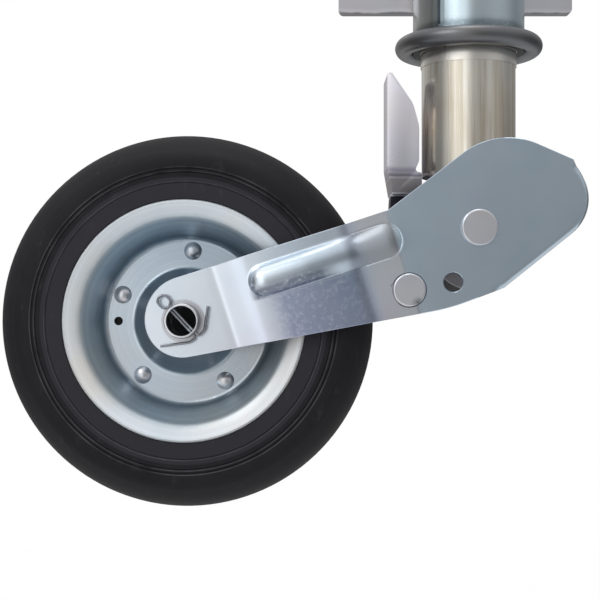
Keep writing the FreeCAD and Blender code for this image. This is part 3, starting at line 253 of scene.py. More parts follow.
forkShape = {
    "sheet": 4.0,
    "headHalf": 43.0, "armHalf": 37.0, "endHalf": 32.0,      # outer faces from the middle
    "rise": 18.0,                          # degrees, slope of the arm
    "bends": (43.2, 62.9, 122.9, 135.7),   # along the arm
    "softness": (0.7, 2.4, 3.0, 0.8),      # of each bend, small is crisp
    "beadEnds": (48.4, 112.4),             # centres of the bead's round ends along the arm
    "beadOffset": 8.3, "beadHalf": 8.5, "beadFoot": 0.5,
    "beadStart": 0.03,                     # the foot's fillet begins this high
    "beadHigh": ((39, 1.3), (62, 3.4), (90, 5.4), (121, 6.2)),     # along the arm, above the sheet
    "creaseDeep": 0.3, "creaseOut": 0.3, "creaseWide": 0.5,        # at the bead's foot
    "creaseEnds": (66, 6),                 # along the arm, and over what length it fades
    "turnRound": 5.0, "turnReach": 2.6,    # the turn into web and lips, across and in side view
    "turnBegins": 7.0, "turnOver": 0.6,    # its start down from the lip's top, and above it
    "lipWide": 10.0,
    "outline": ((-46.6, 8.8, 6), (9.5, 51.6, 38), (48, 34.8, 1.2), (49.5, 31.3, 0.8),
                (67.2, 12.4, 22.6), (13.5, -30.6, 8), (-15, -41.2, 100), (-171.9, -70.6, 19.4),
                (-171.9, -30.3, 22.8)),
    "band": slice(3, 6),                   # the outline's corners at lip, nose and web
    "holes": {"pivot": (0, 0, 8), "latch": (-35.7, -31.9, 6), "drain": (-13.2, -27.9, 5),
              "axle": (-151.9, -47.7, 9)},
    "latchSeat": (8.7, 40.4),              # radius, and its floor from the middle
    "cutEdge": 0.3,                        # softened width of every cut edge
}

# How the cheek is divided into triangles.

forkMesh = {
    "outlineStep": 0.6, "cell": 1.5,
    "gap": 0.33,                           # that grid points keep from every line
    "alongSpan": (-75, 185), "acrossSpan": (-75, 75),
    "atBends": ((3, 0.4), (5, 0.7), (6, 0.8), (3, 0.4)),     # closer lines: their reach and step
    "atBeadEnd": (2.4, 0.4), "atBeadSide": (2, 0.4), "atBeadTop": (5, 0.8),
    "holeSteps": 56, "seatSteps": 64, "seatGaps": (-0.02, 0.25),
    "turnRows": 9, "underTurn": 0.03,      # a last row of the turn this short of the sheet
    "endSteps": 72, "endRings": (-2, 2.1, 0.5),    # at the bead's ends: from its radius, step
    "clear": 0.01, "merge": 1e-5,
}
hair = 0.02                                # mm, nearer than this is as good as touching

# Noises over an object's own place: scale, detail, roughness, stretch, slant in degrees.

evenly = (1, 1, 1)
noises = {
    "clouds": (14, 3, 0.55, evenly, 0),
    "drift": (38, 2, 0.5, evenly, 0),
    "rubs": (240, 4, 0.7, (0.3, 1, 1), 50),
    "waver": (60, 3, 0.6, evenly, 0),
    "grain": (1600, 2, 0.6, evenly, 0),
    "scratches": (900, 2, 0.6, (0.06, 1, 1), 18),
    "streaks": (230, 3, 0.6, (1, 1, 0.03), 0),
    "mottle": (420, 4, 0.75, evenly, 0),
    "dust": (45, 5, 0.62, evenly, 0),
    "rubberGrain": (900, 3, 0.65, evenly, 0),
    "smears": (160, 4, 0.7, (1, 1, 0.4), 0),
    "mouldGrain": (1400, 3, 0.65, evenly, 0),
    "mouldDrift": (30, 2, 0.5, evenly, 0),
    "turning": (1500, 2, 0.5, (0.1, 0.1, 1), 0),
    "steelDrift": (45, 3, 0.5, evenly, 0),
}

# Zinc plating in each place. Rows of a table "over" a measure: place, tint, roughness, metallic;
# the tints are mostly painted light and shade. The dark band, low to high on a measure, is painted
# shade inside a bore, hole or gap. A patch is a tint and the measures over which it fades in and
# out: painted shade as well.

origin = (0, 0, 0)
zincFinishes = {
    "outerZinc": dict(
        base="#dfe8ec", cool="#d2e0e8", warm="#dfdad6", grain=0.12,
        # Round the tube: painted shade on its left side and along the two edges of the pressed
        # groove, a painted highlight in front
        over=("round", tubeAxis, (
            (-180, "#c9c4be", 0.24, 0.94), (-60, "#c9c4be", 0.24, 0.94),
            (-48, "#c0bbb6", 0.22, 0.94), (-47, "#8f8c8a", 0.2, 0.94),
            (-45.5, "#c4c0bc", 0.2, 0.94), (-40.5, "#bdbab8", 0.2, 0.94),
            (-39.3, "#85878a", 0.2, 0.94), (-38, "#dfe7ea", 0.2, 0.94),
            (-20, "#eef5f9", 0.2, 0.94), (0, "#e4e9ec", 0.2, 0.94),
            (180, "#e4e9ec", 0.24, 0.94))),
        # painted shade: near black on the tube's lower end face, under the ring
        paintedShade=("height", origin, -79.3, -78.9),
        # painted shadow: a darker band on the tube just above the ring
        shadePatches=(("#b2b7ba", ("height", origin, (
            (-80, 1.0), (-68, 1.0), (-65.5, 0.0), (320, 0.0)))),)),
    "ringZinc": dict(base="#717275", cool="#676a6e", warm="#72706d", roughness=0.36, grain=0.2),
    "flangeZinc": dict(
        base="#e2e4eb", cool="#d6dee6", warm="#dfd9de", lines=0.1, grain=0.25,
        # Tints up the plate: painted shade at its lower edge, darkest below -49.6 mm, and a painted
        # highlight as a bright line at -48.6 mm
        over=("height", origin, (
            (-52, 0.3, 0.4, 0.94), (-49.6, 0.3, 0.4, 0.94), (-49.2, 0.6, 0.3, 0.94),
            (-48.6, 1.0, 0.3, 0.94), (-46.5, 0.84, 0.3, 0.94), (52, 0.84, 0.3, 0.94)))),
    "innerZinc": dict(base="#eae6dc", cool="#dfdfde", warm="#e0d6c6", roughness=0.22, grain=0.1,
                      drawn=0.5),
    "forkZinc": dict(
        base="#eef6ff", cool="#e0eef9", warm="#eceffb", lines=0.1, grain=0.24,
        # Tints along the arm are painted light and shade: darker on the slope between the first two
        # bends and across the second, lighter towards the axle end, a dark line at the last bend
        over=("arm", pivotAt, (
            (-62, "#d2dbe0", 0.22, 0.94), (41.5, "#d2dbe0", 0.22, 0.94),
            (43, "#a3a1a0", 0.34, 0.94), (57, "#a5a3a3", 0.34, 0.94),
            (62, "#9b9ca1", 0.26, 0.94), (66, "#a3a4aa", 0.26, 0.94),
            (70, "#d6d8dc", 0.24, 0.94), (82, "#dfe1e4", 0.26, 0.94),
            (100, "#f2f3f6", 0.26, 0.94), (114, 1.0, 0.26, 0.94), (123, "#e6e8ec", 0.22, 0.94),
            (136, 0.86, 0.22, 0.94), (142, 1.0, 0.22, 0.94), (158, 1.0, 0.22, 0.94),
            (180, 0.95, 0.22, 0.94))),
        # painted shade: near black on the wall of the axle's hole
        paintedShade=("wheel", axleAt, 8.95, 9.5),
        # painted shade: darker on the arm below the bead, and darker still on the bead's underside
        shadePatches=(
            ("#bfc4d4",
             ("arm", pivotAt, ((60, 0.0), (70, 1.0), (106, 1.0), (118, 0.0), (200, 0.0))),
             ("beside", pivotAt, ((-60, 1.0), (-2, 1.0), (1, 0.0), (60, 0.0)))),
            ("#8f9199",
             ("arm", pivotAt, ((74, 0.0), (84, 1.0), (118, 1.0), (122, 0.0), (200, 0.0))),
             ("beside", pivotAt, (
                 (-60, 0.0), (-1, 0.0), (0.5, 1.0), (4, 1.0), (7, 0.0), (60, 0.0)))))),
    # a darker, duller copy of the fork's zinc for its inward faces: painted shade of the fork's
    # inside
    "insideShadedZinc": dict(base="#a0a6b0", cool="#949ba6", warm="#a3a1a8", roughness=0.42, grain=0.3),
    "bracketZinc": dict(base="#78767a", cool="#6c6f76", warm="#7d776c", roughness=0.38, lines=0.2,
                        grain=0.4),
    "leverZinc": dict(
        base="#eceaf4", cool="#e2e4ee", warm="#ebe6e2", lines=0.15, grain=0.25,
        # Tints down the lever: a painted highlight as a bright line at -156.6 to -156 mm and a
        # painted highlight over painted shade at the neck's crease, -147.6 and -146.4 mm; the block
        # between is greyer, and darker still below -157 mm
        over=("height", origin, (
            (-222, "#5b5a60", 0.4, 0.94), (-157.0, "#3a3a42", 0.4, 0.94),
            (-156.6, 1.0, 0.3, 0.94), (-156.0, 1.0, 0.3, 0.94),
            (-155.6, "#b4b1ad", 0.36, 0.94), (-148.5, "#b0ada9", 0.36, 0.94),
            (-147.6, "#dcdadb", 0.3, 0.94), (-146.4, "#8b888b", 0.3, 0.94),
            (-145.0, "#d6d4da", 0.26, 0.94), (-143.4, "#c9c6cd", 0.26, 0.94),
            (-141.0, 1.0, 0.28, 0.94), (-88, 1.0, 0.28, 0.94)))),
    "rimZinc": dict(
        base="#eef5fb", cool="#e0ecf5", warm="#f1efec", lines=0.06, grain=0.12, rings=axleAt,
        # Tints by radius are painted light and shade: darker by the hub and on the steep wall at 46
        # mm, lighter on the flats, and the lip whitened and less metallic as a painted highlight
        over=("wheel", axleAt, (
            (0, 0.5, 0.35, 0.94), (24, "#99a2a9", 0.36, 0.94), (27.6, "#a0a9b0", 0.36, 0.94),
            (29.6, "#dfe4e8", 0.3, 0.9), (35, "#dadfe4", 0.28, 0.9), (42.4, "#dadfe4", 0.28, 0.9),
            (44.4, "#cfd5da", 0.3, 0.94), (46.2, "#9ca8b0", 0.38, 0.94),
            (49, "#d6dfe4", 0.36, 0.94), (52, "#e6edf0", 0.38, 0.94), (54.6, "#dadfe1", 0.4, 0.8),
            (57, 0.95, 0.45, 0.4), (59.5, 1.0, 0.5, 0.1), (64, 1.0, 0.5, 0.1))),
        # the dark band is painted shade: near black in the rim's small hole
        paintedShade=("wheel", axleAt + np.array((-0.0376, 0, 0)), 0, 2.35)),    # the rim's small hole
    "pinZinc": dict(
        base="#d6d7dd", cool="#c8ced6", warm="#d6d1ca", roughness=0.3, grain=0.3,
        # the patch is painted shade: a dark spot in the middle of the latch pin's end, for its dent
        shadePatches=(("#4c4d52", ("wheel", (-0.0313, 0, -0.2146), (               # the latch pin's dent
            (0, 1.0), (1.3, 1.0), (2.4, 0.0), (500, 0.0)))),)),
    "axleZinc": dict(
        base="#e6e8ee", cool="#dbe1e8", warm="#e6e2dc", grain=0.2,
        # Tints by radius: the tube's end face bright and its side beyond 8.75 mm darkened as
        # painted shade; the dark band paints the bore near black as painted shade
        over=("wheel", axleAt, (
            (0, 1.0, 0.2, 0.94), (8.3, 1.0, 0.2, 0.94), (8.75, 0.3, 0.3, 0.94),
            (20, 0.3, 0.3, 0.94))),
        paintedShade=("wheel", axleAt, 0, 7.74)),
    "wireZinc": dict(base="#94979d", cool="#8a8f98", warm="#96938e", roughness=0.12, grain=0.1),
    # the dark band is painted shade: near black on the bush outside the inner tube's fit, under the
    # ring
    "bushZinc": dict(base="#eae6dc", cool="#dfdfde", warm="#e0d6c6", roughness=0.22, grain=0.1,
                     paintedShade=("tube", tubeAxis, 25.95, 99)),
}
plating = {
    "cloudStops": (0.32, 0.5, 0.7), "driftGloss": 0.08, "metal": 0.94,
    "waver": 3, "shadeWaver": 3,             # mm that the edges of tables and patches wander
    "rubbed": "#e8eaee", "rubRise": (0.66, 8), "rubShare": 0.2,
    "turned": "#c9d0d6", "turnedScale": (0.9, 3), "turnedRise": (0.35, 0.9), "turnedHigh": 0.3,
    "drawn": "#c2b8a6", "drawnRise": (0.46, 7), "drawnGloss": 0.05,
    "mottleGain": 2.4, "mottleFloor": 0.2,
    # painted shade: the near-black colour of shade in bores and gaps, the sharpness of its edge,
    # its dullness
    "paintedShade": "#08080a", "shadeEdge": 40, "shadeDull": 0.4,     # its edge a fortieth of a mm
    "bump": (0.35, 0.00003),
}


# Zinc: cloud noise ramped from the cool over the base to the warm tint, times the table's tint,
# with rubbed spots mixed in; the table's tints are mostly painted light and shade. Turned rings and
# drawn streaks each multiply their tint in where their own noise rises, and so do the patches,
# which are painted shade. Roughness is the table's or the finish's own plus drifting noise.
# Height is grain plus slanted scratches plus rings. A dark band is painted shade: near black, dull,
# no metal.
def zinc(name, base, cool, warm, grain, roughness=0.0, lines=0.0, over=None, rings=None,
         paintedShade=None, shadePatches=(), drawn=0.0):
    shader = Shader(name)
    drift = shader.noise("drift")
    stops = list(zip(plating["cloudStops"], (rgb(cool), rgb(base), rgb(warm))))
    colour = shader.ramp(shader.noise("clouds"), stops)
    gloss = (drift - 0.5) * plating["driftGloss"] + roughness
    metal = plating["metal"]
    if over is not None:
        kind, centre, rows = over
        where = shader.measure(kind, centre) + (shader.noise("waver") - 0.5) * plating["waver"]
        tint, dull, metal = (shader.across(where, rows, column) for column in (1, 2, 3))
        colour = shader.blend(1.0, colour, tint, "MULTIPLY")
        gloss = gloss + dull
    rubs = shader.noise("rubs").risen(*plating["rubRise"])
    colour = shader.blend(rubs * plating["rubShare"], colour, rgba(plating["rubbed"]))
    height = shader.noise("grain") * grain + shader.noise("scratches") * lines
    if rings is not None:           # fine turned lines round the wheel's axis
        row = shader.node("ShaderNodeCombineXYZ", {}, {"X": shader.measure("wheel", rings)})
        scale, detail = plating["turnedScale"]
        fine = shader.node("ShaderNodeTexNoise", {},
                           {"Vector": row, "Scale": scale, "Detail": detail})
        colour = shader.tinted(fine.risen(*plating["turnedRise"]), colour, plating["turned"])
        height = height + fine * plating["turnedHigh"]
    if drawn:                       # faint streaks of a drawn tube
        streaks = shader.noise("streaks").risen(*plating["drawnRise"])
        colour = shader.tinted(streaks * drawn, colour, plating["drawn"])
        gloss = gloss + (streaks - 0.5) * plating["drawnGloss"]
    # each patch is painted shade, mottled by noise
    for tint, *limits in shadePatches:
        inside = 1.0
        for kind, centre, rows in limits:
            where = shader.measure(kind, centre) + (drift - 0.5) * plating["shadeWaver"]
            inside = shader.across(where, rows, 1) * inside
        mottle = shader.noise("mottle") * plating["mottleGain"] - plating["mottleFloor"]
        colour = shader.tinted(inside * mottle.clamped(), colour, tint)
    if paintedShade is not None:
        kind, centre, low, high = paintedShade
        where, edge = shader.measure(kind, centre), plating["shadeEdge"]
        shadeMask = where.risen(low, edge) * ((high - where) * edge).clamped()
        colour = shader.blend(shadeMask, colour, rgba(plating["paintedShade"]))
        metal = metal * (1 - shadeMask)
        gloss = gloss + shadeMask * plating["shadeDull"]
    return shader.surface(Base_Color=colour, Metallic=metal, Roughness=gloss.clamped(),
                          Normal=shader.bump(height, *plating["bump"]))


tyreFinish = {
    "inner": "#323136", "outer": "#1e1d20", "step": 74.5, "stepGain": 1.5,
    "dustStops": (0.3, 0.7), "dustGain": 1.5,
    "smear": "#57565b", "smearRise": (0.6, 4), "smearShare": 0.3,
    "ridges": (72.6, 78.0, 80.2), "ridge": "#68676c", "ridgeNarrow": 2.2, "ridgeRise": (0.3, 3),
    "ridgeHighlightShare": 0.7,
    "roughness": 0.62, "roughDrift": 0.25, "shine": 0.12, "bump": (0.3, 0.00008),
    "innerGrain": 0.2,
}


# Rubber: a plain dark ring by the rim, outside the step's radius a colour that dust noise ramps
# up, smears mixed over both, and each moulded ridge lighter by its nearness times the dust, a
# painted highlight along the ridge broken up by dust.
# Roughness drifts with the dust. Height is fine grain, a fifth as strong inside the step.
def rubber(name, setup):
    shader = Shader(name)
    dust = shader.noise("dust")
    radius = shader.measure("wheel", axleAt)
    band = radius.risen(setup["step"], setup["stepGain"])
    dusty = shader.ramp(dust, list(zip(setup["dustStops"], (
        rgb(setup["outer"]), rgb(setup["outer"], setup["dustGain"])))))
    colour = shader.blend(band, rgba(setup["inner"]), dusty)
    smears = shader.noise("smears").risen(*setup["smearRise"]) * setup["smearShare"]
    colour = shader.blend(smears, colour, rgba(setup["smear"]))
    # painted highlight along each ridge, broken up where dust rises
    for ridge in setup["ridges"]:
        near = (1 - (radius - ridge).maths("ABSOLUTE") * setup["ridgeNarrow"]).clamped()
        edge = near * dust.risen(*setup["ridgeRise"])
        colour = shader.blend(edge * setup["ridgeHighlightShare"], colour, rgba(setup["ridge"]))
    share = band * (1 - setup["innerGrain"]) + setup["innerGrain"]
    rough = (dust - 0.5) * setup["roughDrift"] + setup["roughness"]
    normal = shader.bump(shader.noise("rubberGrain") * share, *setup["bump"])
    return shader.surface(Base_Color=colour, Roughness=rough.clamped(),
                          Specular_IOR_Level=setup["shine"], Normal=normal)


# Moulded plastic: the base ramped up by a quarter with drifting noise, over a leathery grain.
def moulded(name, base, roughness, stops=(0.35, 0.7), gain=1.25, bump=(0.4, 0.00008)):
    shader = Shader(name)
    colour = shader.ramp(shader.noise("mouldDrift"), list(zip(stops, (rgb(base), rgb(base, gain)))))
    return shader.surface(Base_Color=colour, Roughness=roughness,
                          Normal=shader.bump(shader.noise("mouldGrain"), *bump))


# Turned metal: the base ramped down by a fifth with drifting noise, over fine turned rings.
def turnedMetal(name, base, roughness, stops=(0.3, 0.7), gain=0.8, bump=(0.3, 0.00004)):
    shader = Shader(name)
    colour = shader.ramp(shader.noise("steelDrift"), list(zip(stops, (rgb(base, gain), rgb(base)))))
    return shader.surface(Base_Color=colour, Metallic=1.0, Roughness=roughness,
                          Normal=shader.bump(shader.noise("turning"), *bump))


materials = {name: zinc(name, **finish) for name, finish in zincFinishes.items()}
materials["tyreRubber"] = rubber("tyreRubber", tyreFinish)
materials["bushPlastic"] = moulded("bushPlastic", "#2a2a2c", 0.5)
materials["gripPlastic"] = moulded("gripPlastic", "#1d1d20", 0.42)
materials["screwSteel"] = turnedMetal("screwSteel", "#8d8e92", 0.3)
materials["springSteel"] = turnedMetal("springSteel", "#77787c", 0.32)
materials["nutBrass"] = turnedMetal("nutBrass", "#c9a25c", 0.3)

finished = {
    "outerZinc": ("outer_tube", "flange_welds", "top_cap", "crank_arm"),
    "ringZinc": ("collar_ring",),
    "flangeZinc": ("flange_plate",),
    "bushZinc": ("guide_bush",),
    "innerZinc": ("inner_tube",),
    "bracketZinc": ("pivot_bracket", "catch_bar"),
    "forkZinc": ("fork",),
    "leverZinc": ("release_lever",),
    "axleZinc": ("axle_tube",),
    "wireZinc": ("split_pin_near", "split_pin_far"),
    "rimZinc": ("rim_half_near", "rim_half_far", "hub_sleeve"),
    "pinZinc": ("pivot_pin", "latch_pin", "pivot_sleeve", "lever_spacer", "rim_rivets",
                "axle_washer_near", "axle_washer_far", "hub_washer_near", "hub_washer_far",
                "crank_cross_pin", "grip_pin"),
    "screwSteel": ("spindle", "spindle_stop_ring", "bearing_upper_race", "bearing_balls",
                   "bearing_lower_race"),
    "springSteel": ("lever_spring",),
    "nutBrass": ("spindle_nut",),
    "tyreRubber": ("tyre",),
    "bushPlastic": ("hub_bush_near", "hub_bush_far"),
    "gripPlastic": ("crank_grip",),
}
for finish, names in finished.items():
    for node in names:
        for slot in nodes[node].material_slots:
            slot.material = materials[finish]
print("materials made:", len(materials))

# Lines and shells, in mm: what the fork and the split pins are made with.


def unit(vector):
    return vector / np.linalg.norm(vector)


# A line through corners, each turned into an arc of its radius; runs are divided by the step.
def roundedLine(corners, step, closed=True):
    spots = [np.array(c[:2], float) for c in corners]
    count, chunks = len(corners), []
    for index in range(count):
        if not closed and index in (0, count - 1):
            chunks.append(spots[index][None])
            continue
        before, here, after = spots[index - 1], spots[index], spots[(index + 1) % count]
        inward, outward = unit(before - here), unit(after - here)
        half = math.acos(np.clip(inward @ outward, -1, 1)) / 2
        radius = corners[index][2]
        centre = here + unit(inward + outward) * radius / math.sin(half)
        leg = radius / math.tan(half)
        first, last = here + inward * leg - centre, here + outward * leg - centre
        sweep = math.pi - 2 * half
        turns = np.linspace(0, 1, max(4, int(radius * sweep / step) + 2))[:, None]
        swung = np.sin((1 - turns) * sweep) * first + np.sin(turns * sweep) * last
        chunks.append(centre + swung / math.sin(sweep))
    if closed:
        chunks.append(chunks[0][:1])
    line = [chunks[0]]
    for chunk in chunks[1:]:
        start, end = line[-1][-1], chunk[0]
        between = int(np.linalg.norm(end - start) / step)
        shares = np.linspace(0, 1, between + 2)[1:-1, None]
        line += [start + (end - start) * shares, chunk]
    line = np.concatenate(line)
    return line[:-1] if closed else line


# Right-hand normals of a line that runs clockwise: the way into the sheet.
def inwardOf(line, closed=True):
    ahead = np.roll(line, -1, 0) - np.roll(line, 1, 0)
    if not closed:
        ahead[0], ahead[-1] = line[1] - line[0], line[-1] - line[-2]
    ahead /= np.linalg.norm(ahead, axis=1)[:, None]
    return np.stack([ahead[:, 1], -ahead[:, 0]], 1)


def circleLine(x, z, radius, count):
    turn = np.linspace(0, -2 * math.pi, count, endpoint=False)
    return np.stack([x + radius * np.cos(turn), z + radius * np.sin(turn)], 1)


# Whether points lie within a closed line: a ray to the right crosses it an odd number of times.
def insideOf(points, line):
    x, z = points[:, 0, None], points[:, 1, None]
    x1, z1 = line[:, 0], line[:, 1]
    x2, z2 = np.roll(x1, -1), np.roll(z1, -1)
    crosses = (z1 > z) != (z2 > z)
    rise = np.where(z2 == z1, 1, z2 - z1)
    return (crosses & (x < (x2 - x1) * (z - z1) / rise + x1)).sum(1) % 2 == 1


# Whether points are clear of every hole of the shape by a margin.
def outsideHoles(points, shape, margin):
    clear = np.ones(len(points), bool)
    for x, z, radius in shape["holes"].values():
        clear &= np.hypot(points[:, 0] - x, points[:, 1] - z) > radius + margin
    return clear


# Keeps a closed shell, turned so that its faces look outwards: its signed volume is positive.
def addShell(shells, points, faces):
    points = np.asarray(points, float)
    if faces.shape[1] == 4:
        faces = np.concatenate([faces[:, [0, 1, 2]], faces[:, [0, 2, 3]]])
    a, b, c = (points[faces[:, index]] for index in range(3))
    volume = np.einsum("ij,ij->i", a - points.mean(0), np.cross(b - a, c - a)).sum()
    faces = faces[:, ::-1] if volume < 0 else faces
    start = sum(len(shell[0]) for shell in shells)
    shells.append((points, faces + start))


# One mesh of closed shells round a centre. Second tells which faces take the second finish.
def makePiece(name, shells, centre, finishes, sharp, second=None):
    mesh = bpy.data.meshes.new(name)
    points = np.concatenate([shell[0] for shell in shells])
    faces = np.concatenate([shell[1] for shell in shells])
    mesh.from_pydata((points * mm + centre).tolist(), [], faces.tolist())
    mesh.polygons.foreach_set("use_smooth", np.ones(len(faces), bool))
    for finish in finishes:
        mesh.materials.append(materials[finish])
    if second is not None:
        a, b, c = (points[faces[:, index]] for index in range(3))
        chosen = second((a + b + c) / 3, np.cross(b - a, c - a))
        mesh.polygons.foreach_set("material_index", chosen.astype(np.int32))
    mesh.set_sharp_from_angle(angle=math.radians(sharp))
    piece = bpy.data.objects.new(name, mesh)
    scene.collection.objects.link(piece)
    return piece


# Fork: the cheeks are cut from their side view as triangles and lifted to the level.


# A ramp's corner: 0 before, the distance after, rounded over the softness.
def softStep(distance, softness):
    return (distance + np.sqrt(distance ** 2 + softness ** 2)) / 2


# The higher of two surfaces, with a fillet where they meet.
def higherOf(one, other, fillet):
    return (one + other + np.sqrt((one - other) ** 2 + fillet ** 2)) / 2


# From x and z to distances along the arm and across it, and back.
def armSpot(points, shape):
    rise = math.radians(shape["rise"])
    x, z = points[:, 0], points[:, 1]
    return -x * math.cos(rise) - z * math.sin(rise), z * math.cos(rise) - x * math.sin(rise)


def sideSpot(along, across, shape):
    rise = math.radians(shape["rise"])
    return np.stack([-along * math.cos(rise) - across * math.sin(rise),
                     across * math.cos(rise) - along * math.sin(rise)], 1)


# Distance inwards from the line of lips, nose and web, which runs on past the web's foot.
def turnDistance(points, shape):
    corners = shape["outline"][shape["band"]]
    lipTop, nose, foot = (np.array(corner[:2], float) for corner in corners)
    radius = corners[1][2]
    ways = unit(nose - lipTop), unit(foot - nose)
    into = [np.array([way[1], -way[0]]) for way in ways]
    fromLines = [(points - spot) @ normal for spot, normal in zip((lipTop, nose), into)]
    half = math.acos(np.clip(-ways[0] @ ways[1], -1, 1)) / 2
    centre = nose + unit(into[0] + into[1]) * radius / math.sin(half)
    away = points - centre
    atNose = (away @ ways[0] > 0) & (away @ ways[1] < 0)
    distance = np.where(atNose, radius - np.linalg.norm(away, axis=1),
                        np.where(away @ ways[0] <= 0, fromLines[0], fromLines[1]))
    farOff = 99
    return np.where(points[:, 1] > lipTop[1] + shape["turnOver"], farOff, distance)


# Outer and inner faces' distances from the fork's middle plane: the head's half width less the
# soft steps of the bends, or the bead's round top where it is higher, less the crease at its
# foot and a quarter round towards the turn. The inner face lies a sheet further in.
def levelOf(points, shape):
    along, across = armSpot(points, shape)
    bends, soft = shape["bends"], shape["softness"]
    drops = ((shape["headHalf"] - shape["armHalf"]) / (bends[1] - bends[0]),
             (shape["armHalf"] - shape["endHalf"]) / (bends[3] - bends[2]))
    steps = [softStep(along - bend, softness) for bend, softness in zip(bends, soft)]
    level = (shape["headHalf"] - drops[0] * (steps[0] - steps[1])
             - drops[1] * (steps[2] - steps[3]))
    half, high = shape["beadHalf"], np.interp(along, *zip(*shape["beadHigh"]))
    past = along - np.clip(along, *shape["beadEnds"])
    reach = np.hypot(past, across - shape["beadOffset"])
    dome = (high ** 2 + half ** 2) / (2 * high)
    slope = half / (dome - high)
    rib = np.where(reach < half, np.sqrt(np.maximum(dome ** 2 - reach ** 2, 0)) - dome + high,
                   (half - reach) * slope)
    ribbed = level + np.maximum(higherOf(0, rib, shape["beadFoot"]) - shape["beadStart"], 0)
    ends, fades = shape["creaseEnds"]
    creased = shape["creaseDeep"] * np.clip((ends - along) / fades, 0, 1)
    ribbed -= creased * np.exp(-((reach - half - shape["creaseOut"]) / shape["creaseWide"]) ** 2)
    seatX, seatZ, _ = shape["holes"]["latch"]
    seatRadius, seatFloor = shape["latchSeat"]
    fromSeat = np.hypot(points[:, 0] - seatX, points[:, 1] - seatZ)
    outer = np.where(fromSeat < seatRadius, np.minimum(ribbed, seatFloor), ribbed)
    turn, sheet = shape["turnRound"], shape["sheet"]
    distance = np.clip(turnDistance(points, shape), 0, None)
    left = np.clip(1 - distance / shape["turnReach"], 0, 1)
    fall = turn * (1 - np.sqrt(1 - left ** 2))
    inTurn = turn - sheet
    inFrom = np.clip(turn - distance, 0, inTurn)
    innerFall = inTurn - np.sqrt(np.maximum(inTurn ** 2 - inFrom ** 2, 0))
    inner = ribbed - sheet - np.where(distance < sheet - hair, turn, innerFall)
    lipTop = shape["outline"][shape["band"]][0][1] + shape["turnOver"]
    begun = np.clip((lipTop - points[:, 1]) / shape["turnBegins"], 0, 1)
    return outer - fall * begun, inner


# Grid lines a cell apart over a span, closer together round each mark: place, reach, spacing.
def spreadOut(span, cell, marks):
    lines = np.arange(*span, cell)
    for place, (reach, spacing) in marks:
        kept = lines[np.abs(lines - place) > reach]
        closer = np.arange(place - reach, place + reach + 0.01, spacing)
        lines = np.sort(np.concatenate([kept, closer]))
    return lines


# Points of the side view: closed loops to cut along, rows beside the cut edges and through the
# turn, rings round the bead's blunt ends, and a grid that keeps its gap from all of them.
def cheekPoints(shape, fineness):
    cell, edge = fineness["cell"], shape["cutEdge"]
    outline = roundedLine(shape["outline"], fineness["outlineStep"])
    holes, count = shape["holes"].values(), fineness["holeSteps"]
    seatX, seatZ, _ = shape["holes"]["latch"]
    loops = [outline] + [circleLine(*hole, count) for hole in holes]
    loops += [circleLine(seatX, seatZ, shape["latchSeat"][0] + gap, fineness["seatSteps"])
              for gap in fineness["seatGaps"]]
    rows = [outline + inwardOf(outline) * edge]
    rows += [circleLine(x, z, radius + edge, count) for x, z, radius in holes]
    turnPart = roundedLine(shape["outline"][shape["band"]], cell, closed=False)
    turnInto = inwardOf(turnPart, closed=False)
    quarter = np.linspace(0, math.pi / 2, fineness["turnRows"])[1:]
    turns = shape["turnReach"] * (1 - np.cos(quarter))
    turns = (*turns, shape["sheet"] - fineness["underTurn"], shape["sheet"])
    rows += [turnPart + turnInto * distance for distance in turns]
    (near, far), side, middle = shape["beadEnds"], shape["beadHalf"], shape["beadOffset"]
    turn = np.linspace(0, 2 * math.pi, fineness["endSteps"], endpoint=False)
    half = turn[np.cos(turn) > 0.05]             # the outward half, less its very ends
    first, last, step = fineness["endRings"]
    rings = np.arange(side + first, side + last, step)
    for ring, (end, hand) in itertools.product(rings, ((far, 1), (near, -1))):
        along, across = end + hand * ring * np.cos(half), middle + ring * np.sin(half)
        rows.append(sideSpot(along, across, shape))
    atBends = list(zip(shape["bends"], fineness["atBends"]))
    alongLines = spreadOut(fineness["alongSpan"], cell,
                           atBends + [(far + side, fineness["atBeadEnd"])])
    acrossLines = spreadOut(fineness["acrossSpan"], cell, (
        (middle - side, fineness["atBeadSide"]), (middle + side, fineness["atBeadSide"]),
        (middle, fineness["atBeadTop"])))
    along, across = (grid.ravel() for grid in np.meshgrid(alongLines, acrossLines))
    grid = sideSpot(along, across, shape)
    grid = grid[insideOf(grid, outline) & outsideHoles(grid, shape, 0)]
    fixed = np.concatenate(loops + rows)
    nearest = np.full(len(grid), np.inf)
    chunk = 400
    for start in range(0, len(fixed), chunk):
        gaps = np.linalg.norm(grid[:, None] - fixed[None, start:start + chunk], axis=2).min(1)
        nearest = np.minimum(nearest, gaps)
    rows = np.concatenate(rows)
    rows = rows[insideOf(rows, outline) & outsideHoles(rows, shape, fineness["clear"])]
    return outline, loops, np.concatenate(loops + [rows, grid[nearest > fineness["gap"]]])


